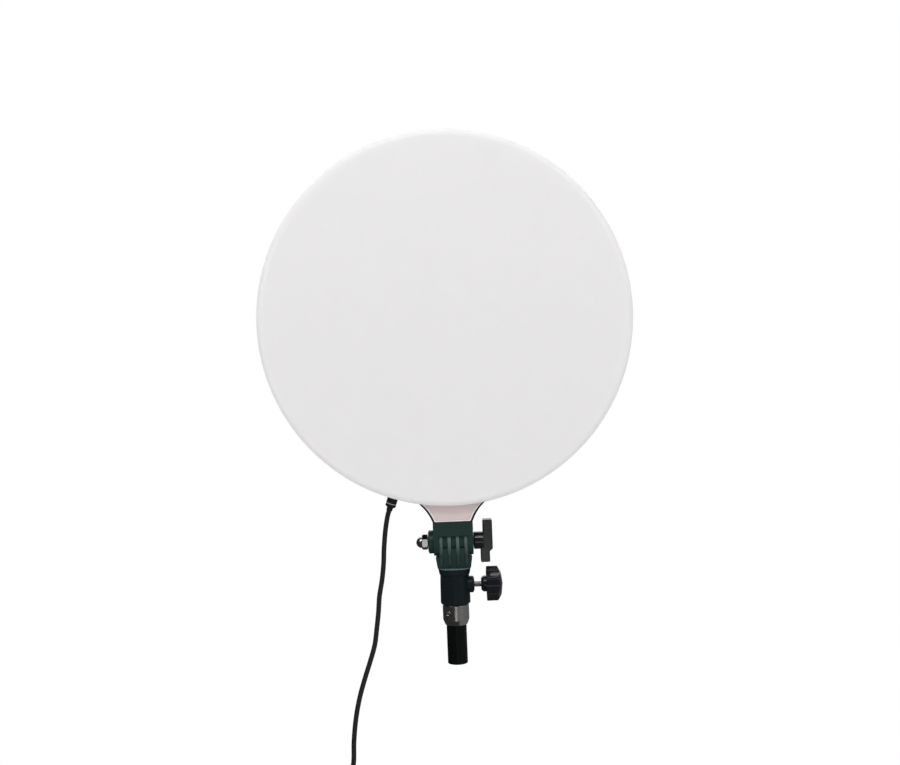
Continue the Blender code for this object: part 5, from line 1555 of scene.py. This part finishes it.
@dataclass
class Controls:
    """The two dimmer dials with their printed scales, and the power switch."""

    flutes: int = 30
    flute_depth: float = 0.5 * MM
    sweep: float = 280.0
    ticks: int = 11
    ink: float = 0.06 * MM
    scale_radius: float = 15.6 * MM
    tick_half: float = 0.25 * MM
    tick_lengths: tuple[float, float] = (1.5, 2.4)
    dial_well: float = 4.6 * MM
    well_depth: float = 1.3 * MM
    pointer_half: float = 0.4 * MM
    mark_depth: float = 0.9 * MM
    mark_lift: float = 4.2 * MM
    mark_sink: float = 0.95 * MM
    mark_ring: tuple[float, float] = (1.2 * MM, 0.8 * MM)
    rocker_lean: float = radians(-8.0)
    switch_proud: float = 1.6 * MM

    def build(self) -> None:
        """Build the dials and scales, and dress what is inside."""
        face = Extent.of("switch_body").high.y - self.switch_proud - GAP
        for name, body in (("brightness", Body.BRIGHTNESS), ("colour", Body.COLOUR)):
            self.dial(name, body)
            self.scale(name, face)
            carried(f"{name}_pot", BACK_SCREW_STEEL)
            carried(f"{name}_shaft", SHAFT_ALUMINIUM)
        self.rocker_marks()
        carried("driver_board", SOLDER_RESIST)
        carried("switch_body", HOUSING_ABS)
        carried("power_rocker", GRIP_ABS)

    def dial(self, name: str, body: Body) -> None:
        """One fluted dial with a white pointer line let into it.

        Args:
            name: which dimmer it belongs to.
            body: the body that turns with it.
        """
        box = Extent.of(f"{name}_dial")
        radius, length = box.size.x / 2, box.size.y
        grip = Shape.plate(lobed(radius, self.flute_depth, self.flutes, 8), length)
        grip.moved(Matrix.Translation((0, 0, length / 2)))
        skin = lathe_profile(
            (0, 0, 0), (radius + HAIR, 0, 0.4 * MM), (radius + HAIR, length * 0.5, 0),
            (radius - 0.6 * MM, length, 1.4 * MM), (radius - 3.0 * MM, length, 0.4 * MM),
            (radius - 3.4 * MM, length - 0.4 * MM, 0.4 * MM), (0, length - 0.4 * MM, 0),
        )
        grip.within(Shape.turned(skin, 120))
        shaft = Extent.of(f"{name}_shaft")
        bore = shaft.size.x / 2 + GAP
        half, slot = self.pointer_half, self.pointer_half + HAIR
        grip.cut(
            Shape.rod((0, 0, -MM), (0, 0, shaft.high.y + GAP - box.low.y), bore),
            Shape.rod((0, 0, -MM), (0, 0, self.well_depth), self.dial_well),
            Shape.block((-slot, radius * 0.35, length - 0.9 * MM), (slot, radius + MM, length + MM)),
        )
        line = Shape.block((-half, radius * 0.36, length - 0.85 * MM), (half, radius - 0.9 * MM, length - 0.5 * MM))
        place = Matrix(((-1, 0, 0, box.centre.x), (0, 0, 1, box.low.y), (0, 1, 0, box.centre.z), (0, 0, 0, 1)))
        shown(grip.moved(place), f"{name}_dial_fluted", GRIP_ABS, body, f"{name}_dial", crease=26)
        shown(line.moved(place), f"{name}_pointer", PRINT_INK, body)

    def scale(self, name: str, face: float) -> None:
        """The printed ticks round one dial, longer at the ends and the middle.

        Args:
            name: which dimmer they belong to.
            face: the control box's face along Y.
        """
        centre = Extent.of(f"{name}_dial").centre
        marks = Shape()
        for k in range(self.ticks):
            turn = radians(self.sweep * (k / (self.ticks - 1) - 0.5))
            long = k in (0, (self.ticks - 1) // 2, self.ticks - 1)
            length = self.tick_lengths[long] * MM
            tick = Shape.block((-self.tick_half, 0, 0), (self.tick_half, self.ink, length))
            spin = Matrix.Rotation(turn, 4, "Y") @ Matrix.Translation((0, 0, self.scale_radius))
            marks.with_shells(tick.moved(Matrix.Translation((centre.x, face, centre.z)) @ spin))
        shown(marks, f"{name}_scale", PRINT_INK, Body.HEAD)

    def rocker_marks(self) -> None:
        """The bar and ring on the rocker for on and off."""
        box = Extent.of("power_rocker")
        lean = Matrix.Rotation(self.rocker_lean, 4, "X")
        face = Matrix.Translation((0, box.high.y - self.mark_sink, box.centre.z)) @ lean
        (outer, inner), deep, lift = self.mark_ring, self.mark_depth, self.mark_lift
        bar = Shape.block((-self.tick_half, 0, lift - outer), (self.tick_half, deep, lift + outer))
        ring = Shape.turned([(outer, 0), (inner, 0), (inner, deep), (outer, deep)], 32)
        ring.moved(aimed(BACK, (0, 0, -lift)))
        marks = bar.with_shells(ring).moved(face)
        shown(marks, "rocker_marks", PRINT_INK, Body.ROCKER)


@dataclass
class PowerLead:
    """The plug in the rim, the hanging lead and its coil, the tie and the wall adapter."""

    diameter: float = 4.8 * MM
    layers: int = 4
    turns: float = 9.125
    start_angle: float = radians(135.0)
    outer_radius: float = 34.5 * MM
    pitch: float = 5.5 * MM
    coil_centre: tuple[float, float] = (-93.0 * MM, -148.0 * MM)
    points_each: int = 48
    tail: float = 56.0 * MM
    sides: int = 20
    plug_radius: float = 5.2 * MM
    plug_grip: float = 18.4 * MM
    plug_groove: float = 14.0 * MM
    plug_face: float = 173.3 * MM
    barrel_radius: float = 2.75 * MM
    barrel_length: float = 9.5 * MM
    relief_length: float = 3.6 * MM
    jack_angle: float = radians(18.4)
    bend_top: float = 148.0 * MM
    bend_foot: float = 20.0 * MM
    bend_place: tuple[float, float] = (-0.062, 0.003)
    tail_steps: int = 14
    spacing: float = 2.4 * MM
    groove_depth: float = 0.7 * MM
    sleeve_radii: tuple[float, float] = (3.1 * MM, 2.8 * MM)
    band_inset: float = 0.2 * MM
    band_width: float = 0.45 * MM
    relief_rings: int = 4
    relief_tip: float = 3.3 * MM
    case_corner: float = 4.0 * MM
    seam_offset: float = 4.0 * MM
    seam_half: float = 0.35 * MM
    seam_depth: float = 0.4 * MM
    grip_count: int = 6
    grip_pitch: float = 3.2 * MM
    grip_radius: float = 0.8 * MM
    blade_hole: float = 1.6 * MM
    blade_hole_inset: float = 4.5 * MM
    # Points of the hanging lead below its plug: X across, Y back and Z up
    route: tuple[tuple[float, float, float], ...] = (
        (-0.0659, 0.0028, 0.1335), (-0.0680, 0.0024, 0.1158), (-0.0691, 0.0018, 0.1000),
        (-0.0712, 0.0010, 0.0843), (-0.0743, 0.0000, 0.0686), (-0.0759, -0.0012, 0.0529),
        (-0.0781, -0.0026, 0.0371), (-0.0807, -0.0040, 0.0213), (-0.0857, -0.0053, 0.0056),
        (-0.0912, -0.0064, -0.0100), (-0.0972, -0.0073, -0.0290), (-0.1018, -0.0079, -0.0500),
        (-0.1046, -0.0082, -0.0720), (-0.1060, -0.0083, -0.0940),
    )

    def build(self) -> None:
        """Build the plug, the lead and what hangs on it."""
        self.plug()
        relief = self.adapter_relief()
        adapter = self.adapter()
        blades = [self.blade(node) for node in ("blade_left", "blade_right")]
        tie = self.tie()
        self.lead([relief, adapter, *blades, tie])
        carried("dc_jack", GRIP_ABS)

    def jack_line(self, distance: float) -> Vector:
        """A point on the jack's axis.

        Args:
            distance: how far from the disc's centre it is.

        Returns:
            The point.
        """
        middle = Extent.of("front_cover").centre.z
        depth = Extent.of("dc_jack").centre.y
        return Vector((-sin(self.jack_angle) * distance, depth, middle - cos(self.jack_angle) * distance))

    def plug(self) -> None:
        """The moulded plug: barrel, cap band, grip and the short sleeve on the lead."""
        radius, grip, groove = self.plug_radius, self.plug_grip, self.plug_groove
        end, floor, (wide, narrow) = grip + self.relief_length, radius - self.groove_depth, self.sleeve_radii
        profile = lathe_profile(
            (0, -self.barrel_length, 0), (self.barrel_radius, -self.barrel_length, 0.3 * MM),
            (self.barrel_radius, 0, 0), (radius, 0, 0.5 * MM), (radius, groove, 0.2 * MM),
            (floor, groove + 0.2 * MM, 0.1 * MM), (floor, groove + 0.9 * MM, 0.1 * MM),
            (radius, groove + 1.1 * MM, 0.2 * MM), (radius, grip - 1.0 * MM, 1.0 * MM),
            (radius - 1.9 * MM, grip, 0.5 * MM), (wide, grip, 0.1 * MM), (narrow, end, 0.2 * MM),
            (0, end, 0),
        )
        place = aimed(self.jack_line(1) - self.jack_line(0), self.jack_line(self.plug_face))
        plug = Shape.turned(profile, 64).moved(place)
        shown(plug, "dc_plug_moulded", OVERMOULD_PVC, Body.HEAD, "dc_plug")
        # A pale ring in the groove, which paints the light line seen there as a highlight
        low, high, reach = groove + 0.25 * MM, groove + 0.85 * MM, radius - self.band_inset
        inner = reach - self.band_width
        band = Shape.turned([(inner, low), (reach, low), (reach, high), (inner, high)], 64)
        shown(band.moved(place), "dc_plug_band", PLUG_HIGHLIGHT_BAND, Body.HEAD)

    def coil_point(self, turn: float) -> Vector:
        """The lead's centre after so many turns of the coil.

        Args:
            turn: turns from the coil's start. The layers go in and out by turns.

        Returns:
            The point.
        """
        leg = self.turns / self.layers
        layer = min(int(turn / leg), self.layers - 1)
        along = turn - layer * leg
        depth = along if layer % 2 == 0 else leg - along
        radius = self.outer_radius - self.pitch * depth
        height = 0.0
        for change in range(1, self.layers):
            share = min(max((turn - change * leg + 0.25) / 0.5, 0.0), 1.0)
            height += share * share * (3 - 2 * share)
        angle = self.start_angle + tau * turn
        y = (height - (self.layers - 1) / 2) * self.pitch
        x, z = self.coil_centre
        return Vector((x + radius * cos(angle), y, z + radius * sin(angle)))

    def path(self) -> list[Vector]:
        """The lead's whole centreline: out of the plug, down, round the coil and down its tail.

        Returns:
            Its points.
        """
        outward = self.jack_line(1) - self.jack_line(0)
        start = self.jack_line(self.plug_face + self.plug_grip + self.relief_length + GAP)
        count = round(self.turns * self.points_each)
        turns = [self.coil_point(self.turns * k / count) for k in range(count + 1)]
        into = (turns[1] - turns[0]).normalized()
        coil_start = turns[0] - into * self.diameter
        knots = [start, start + outward * self.diameter]
        knots += [Vector(place) for place in self.route]
        knots += [coil_start - into * self.diameter, coil_start]
        lead = self.smooth(knots, self.spacing)
        steps = range(1, self.tail_steps + 1)
        tail = [turns[-1] + Vector((0, 0, -self.tail * k / self.tail_steps)) for k in steps]
        return lead + turns + tail

    @staticmethod
    def smooth(knots: Sequence[Vector], spacing: float) -> list[Vector]:
        """Points along a smooth curve through knots.

        Args:
            knots: the points that it goes through.
            spacing: about how far apart the result's points are.

        Returns:
            The points, both ends included.
        """
        ends = [2 * knots[0] - knots[1], *knots, 2 * knots[-1] - knots[-2]]
        points: list[Vector] = []
        for before, start, end, after in zip(ends, ends[1:], ends[2:], ends[3:]):
            count = max(1, round((end - start).length / spacing))
            for k in range(count):
                t = k / count
                point = 2 * start + (end - before) * t
                point += (2 * before - 5 * start + 4 * end - after) * t**2
                point += (3 * start - before - 3 * end + after) * t**3
                points.append(point / 2)
        return [*points, knots[-1].copy()]

    def lead(self, pieces: list[bpy.types.Object]) -> None:
        """The lead as one tube, attached to no body.

        Args:
            pieces: what is on the lead. Not used.
        """
        points = self.path()
        curve = bpy.data.curves.new("lead", "CURVE")
        curve.dimensions = "3D"
        curve.bevel_depth = self.diameter / 2
        curve.bevel_resolution = self.sides // 4 - 1
        curve.use_fill_caps = True
        spline = curve.splines.new("POLY")
        spline.points.add(len(points) - 1)
        for point, place in zip(spline.points, points):
            point.co = (*place, 1)
        guide = placed("lead_guide", curve)
        graph = bpy.context.evaluated_depsgraph_get()
        mesh = bpy.data.meshes.new_from_object(guide.evaluated_get(graph))
        bpy.data.objects.remove(guide)
        bpy.data.curves.remove(curve)
        tube = Shape()
        tube.mesh.from_mesh(mesh)
        bpy.data.meshes.remove(mesh)
        cord = shown(tube.cleaned(), "lead_whole", JACKET_PVC, None, "power_lead", "lead_coil", crease=60)
        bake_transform(cord)

    def tie(self) -> bpy.types.Object:
        """The strap round the coil's bundle.

        Returns:
            The piece.
        """
        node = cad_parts["coil_tie"]
        strap = Shape()
        strap.mesh.from_mesh(node.data)
        strap.cleaned().softened(0.35 * MM, 2, 40)
        return shown(strap, "coil_strap", STRAP, Body.BRACKET, "coil_tie")

    def adapter_relief(self) -> bpy.types.Object:
        """The ribbed sleeve where the lead goes into the adapter.

        Returns:
            The piece.
        """
        box = Extent.of("adapter_relief")
        length, tip, root = box.size.z, self.relief_tip, box.size.x / 2
        corners: list[Corner] = [(0, length, 0), (tip, length, 0.3 * MM)]
        pitch = (length - 3 * MM) / self.relief_rings
        for k in range(self.relief_rings):
            reach = tip + (root - tip) * (k + 1) / (self.relief_rings + 1)
            high = length - 1.2 * MM - k * pitch
            corners += [
                (reach - 0.2 * MM, high, 0), (reach - 0.9 * MM, high - 0.2 * MM, 0),
                (reach - 0.9 * MM, high - 0.9 * MM, 0), (reach, high - 1.1 * MM, 0.1 * MM),
            ]
        corners += [(root, 1.6 * MM, 0.4 * MM), (root, 0, 0.2 * MM), (0, 0, 0)]
        relief = Shape.turned(lathe_profile(*corners), 48)
        relief.moved(Matrix.Translation((box.centre.x, box.centre.y, box.low.z)))
        return shown(relief, "adapter_sleeve", OVERMOULD_PVC, Body.BRACKET, "adapter_relief")

    def adapter(self) -> bpy.types.Object:
        """The adapter's case, with its seam and finger grips.

        Returns:
            The piece.
        """
        box = Extent.of("wall_adapter")
        low, high, middle = box.low, box.high, box.centre
        case = Shape.block(low, high).softened(self.case_corner, 6)
        seam_y, half, grow = middle.y + self.seam_offset, self.seam_half, MM
        deep = Vector((self.seam_depth,) * 3)
        band = Shape.block((low.x - grow, seam_y - half, low.z - grow), (high.x + grow, seam_y + half, high.z + grow))
        band.cut(Shape.block(low + deep, high - deep).softened(self.case_corner - self.seam_depth, 6))
        grips = Shape()
        for side in (-1, 1):
            x = middle.x + side * box.size.x / 2 + side * 0.35 * MM
            for k in range(self.grip_count):
                z = middle.z + (k - (self.grip_count - 1) / 2) * self.grip_pitch
                grips.with_shells(Shape.rod((x, low.y + 5 * MM, z), (x, seam_y - 3 * MM, z), self.grip_radius, 16))
        case.cut(band, grips)
        return shown(case, "adapter_case", HOUSING_ABS, Body.BRACKET, "wall_adapter", crease=26)

    def blade(self, node: str) -> bpy.types.Object:
        """One contact blade with its hole and rounded tip.

        Args:
            node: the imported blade's name.

        Returns:
            The piece.
        """
        box = Extent.of(node)
        width, length = box.size.z, box.size.y
        outline = rounded(
            [
                (0, -width / 2, 0), (length, -width / 2, width * 0.3), (length, width / 2, width * 0.3),
                (0, width / 2, 0),
            ]
        )
        blade = Shape.plate(outline, box.size.x).softened(0.25 * MM, 2)
        hole = length - self.blade_hole_inset
        blade.cut(Shape.rod((hole, 0, -2 * MM), (hole, 0, 2 * MM), self.blade_hole, 32))
        blade.moved(across(box.centre.x, box.low.y, box.centre.z))
        return shown(blade, f"{node}_pierced", BRASS, Body.BRACKET, node)


# Studio


@dataclass
class Studio:
    """The pale floor, the soft lamps, the grey cards, the white surround and the camera."""

    focal_px: float = 1262.0
    image_width: float = 900.0
    sensor: float = 36.0
    eye: tuple[float, float, float] = (0.0, -1.2231, 0.337)
    yaw: float = radians(-0.1246)
    pitch: float = radians(2.901)
    roll: float = radians(2.2)
    surround: float = 0.75
    floor_size: float = 14.0
    glow: float = 0.8
    shadow_start: float = 0.25
    shadow_end: float = 0.48
    flag_reach: float = 2.3
    flag_front: float = -2.7
    flag_back: float = 2.5
    flag_head: float = 4.2
    flag_gap: float = 0.15
    flag_near: float = -0.9
    clip: tuple[float, float] = (0.05, 50.0)
    dark_card: str = "3c3c3c"
    grey_card: str = "808080"

    def build(self) -> None:
        """Build the studio round the finished object."""
        self.world()
        self.floor()
        self.lamps()
        self.flags()
        self.camera()
        bpy.context.scene.view_settings.view_transform = "Standard"

    def seen_white(self, tree: bpy.types.NodeTree) -> bpy.types.NodeSocket:
        """Tell what the camera, a reflection or a clear piece sees from what lights the object.

        Args:
            tree: the tree that the nodes join.

        Returns:
            A value that is 1 for what is seen, and otherwise 0.
        """
        ray = add_node(tree, "ShaderNodeLightPath")
        seen = ray.outputs["Is Camera Ray"]
        for other in ("Is Glossy Ray", "Is Transmission Ray"):
            either = {0: seen, 1: ray.outputs[other]}
            seen = add_node(tree, "ShaderNodeMath", {"operation": "MAXIMUM"}, either).outputs[0]
        return seen

    def world(self) -> None:
        """A surround that lights the object evenly and looks white."""
        world = bpy.data.worlds.new("white_surround")
        tree = bare_tree(world)
        dim = add_node(tree, "ShaderNodeBackground", {"Color": (1, 1, 1, 1), "Strength": self.surround})
        white = add_node(tree, "ShaderNodeBackground", {"Color": (1, 1, 1, 1), "Strength": 1.0})
        ends = {0: self.seen_white(tree), 1: dim.outputs[0], 2: white.outputs[0]}
        mix = add_node(tree, "ShaderNodeMixShader", {}, ends)
        add_node(tree, "ShaderNodeOutputWorld", {}, {"Surface": mix.outputs[0]})
        bpy.context.scene.world = world

    def floor(self) -> None:
        """A plain pale floor just under the adapter, which looks white and keeps the shadow."""
        shape = Shape()
        bmesh.ops.create_grid(shape.mesh, x_segments=1, y_segments=1, size=self.floor_size / 2)
        shape.moved(Matrix.Translation((0, 0, CAD_BOX[0].z - MM)))
        material = bpy.data.materials.new("pale_studio_floor")
        tree = bare_tree(material)
        paint = add_node(tree, "ShaderNodeBsdfDiffuse", {"Color": linear("f2f2f2")})
        glow = add_node(tree, "ShaderNodeEmission", {"Color": (1, 1, 1, 1), "Strength": 1.0})
        place = add_node(tree, "ShaderNodeTexCoord").outputs["Object"]
        away = add_node(tree, "ShaderNodeVectorMath", {"operation": "LENGTH"}, {0: place}).outputs["Value"]
        limits = {"From Min": self.shadow_start, "From Max": self.shadow_end, "To Min": self.glow, "To Max": 1.0}
        soft = {"interpolation_type": "SMOOTHSTEP"} | limits
        spread = add_node(tree, "ShaderNodeMapRange", soft, {"Value": away}).outputs["Result"]
        both = {0: self.seen_white(tree), 1: spread}
        share = add_node(tree, "ShaderNodeMath", {"operation": "MULTIPLY"}, both).outputs[0]
        mix = add_node(tree, "ShaderNodeMixShader", {}, {0: share, 1: paint.outputs[0], 2: glow.outputs[0]})
        add_node(tree, "ShaderNodeOutputMaterial", {}, {"Surface": mix.outputs[0]})
        mesh = shape.as_mesh("floor")
        mesh.materials.append(material)
        placed("floor", mesh)

    def lamps(self) -> None:
        """Soft boxes in front, overhead and behind, and a narrow one that draws highlights on edges."""
        for name, place, target, size, power in (
            ("key_box", (-1.3, -1.7, 1.5), 0.25, (1.4, 1.4), 5.6),
            ("fill_box", (1.6, -1.5, 0.7), 0.25, (1.4, 1.4), 5.6),
            ("top_box", (0.1, 0.2, 2.0), 0.3, (1.6, 1.6), 2.6),
            ("back_box", (0.3, 1.9, 1.3), 0.2, (1.4, 1.4), 4.0),
            ("level_strip", (-0.2, -1.1, 1.5), 0.1, (1.4, 0.16), 8.0),
        ):
            data = bpy.data.lights.new(name, "AREA")
            data.shape = "RECTANGLE"
            data.size, data.size_y = size
            data.energy = power
            lamp = placed(name, data)
            lamp.location = place
            lamp.rotation_mode = "QUATERNION"
            lamp.rotation_quaternion = (Vector((0, 0, target)) - lamp.location).to_track_quat("-Z", "Y")

    def flags(self) -> None:
        """Grey cards round the lamps and on the floor, with a slit in front. Only reflections see them."""
        reach, front, back = self.flag_reach, self.flag_front, self.flag_back
        head, gap, foot = self.flag_head, self.flag_gap, CAD_BOX[0].z - MM / 2
        under = foot - MM / 4
        for name, tone, low, high in (
            ("left_flag", self.dark_card, (-reach - MM, front, foot), (-reach, back, head)),
            ("right_flag", self.grey_card, (reach, front, foot), (reach + MM, back, head)),
            ("front_flag", self.dark_card, (-reach, front - MM, foot), (reach, front, head)),
            ("low_left_flag", self.dark_card, (-reach, front, under), (-gap, back, foot)),
            ("low_right_flag", self.grey_card, (gap, front, under), (reach, back, foot)),
            ("low_middle_flag", self.dark_card, (-gap, self.flag_near, under), (gap, back, foot)),
        ):
            material = bpy.data.materials.new(f"{name}_card")
            tree = bare_tree(material)
            card = add_node(tree, "ShaderNodeBsdfDiffuse", {"Color": linear(tone)})
            add_node(tree, "ShaderNodeOutputMaterial", {}, {"Surface": card.outputs[0]})
            mesh = Shape.block(low, high).as_mesh(name)
            mesh.materials.append(material)
            flag = placed(name, mesh)
            flag.visible_camera = flag.visible_diffuse = flag.visible_shadow = flag.visible_transmission = False

    def camera(self) -> None:
        """The camera: about level with the disc, looking a little down, and rolled by a few degrees."""
        data = bpy.data.cameras.new("camera")
        data.sensor_width = self.sensor
        data.lens = self.focal_px / self.image_width * self.sensor
        data.clip_start, data.clip_end = self.clip
        ahead = Matrix.Rotation(self.yaw, 3, "Z") @ Vector((0, cos(self.pitch), -sin(self.pitch)))
        right = ahead.cross(Vector((0, 0, 1))).normalized()
        up = right.cross(ahead)
        rolled_right = right * cos(self.roll) - up * sin(self.roll)
        rolled_up = right * sin(self.roll) + up * cos(self.roll)
        turn = Matrix((rolled_right, rolled_up, -ahead)).transposed()
        camera = placed("camera", data)
        camera.matrix_world = Matrix.Translation(self.eye) @ turn.to_4x4()
        bpy.context.scene.camera = camera


SUB_ASSEMBLIES = (
    PowerLead, StandTop, TiltBracket, ClampKnob, Knuckle, CapNut, TiltHandle, Diffuser, Housing, Controls,
)


def main() -> None:
    """Build every sub-assembly in order, then the studio."""
    logging.basicConfig(level=logging.INFO, format="%(name)s %(message)s")
    for kind in (*SUB_ASSEMBLIES, Studio):
        log.info("building %s", kind.__name__)
        kind().build()


if __name__ == "__main__":
    main()
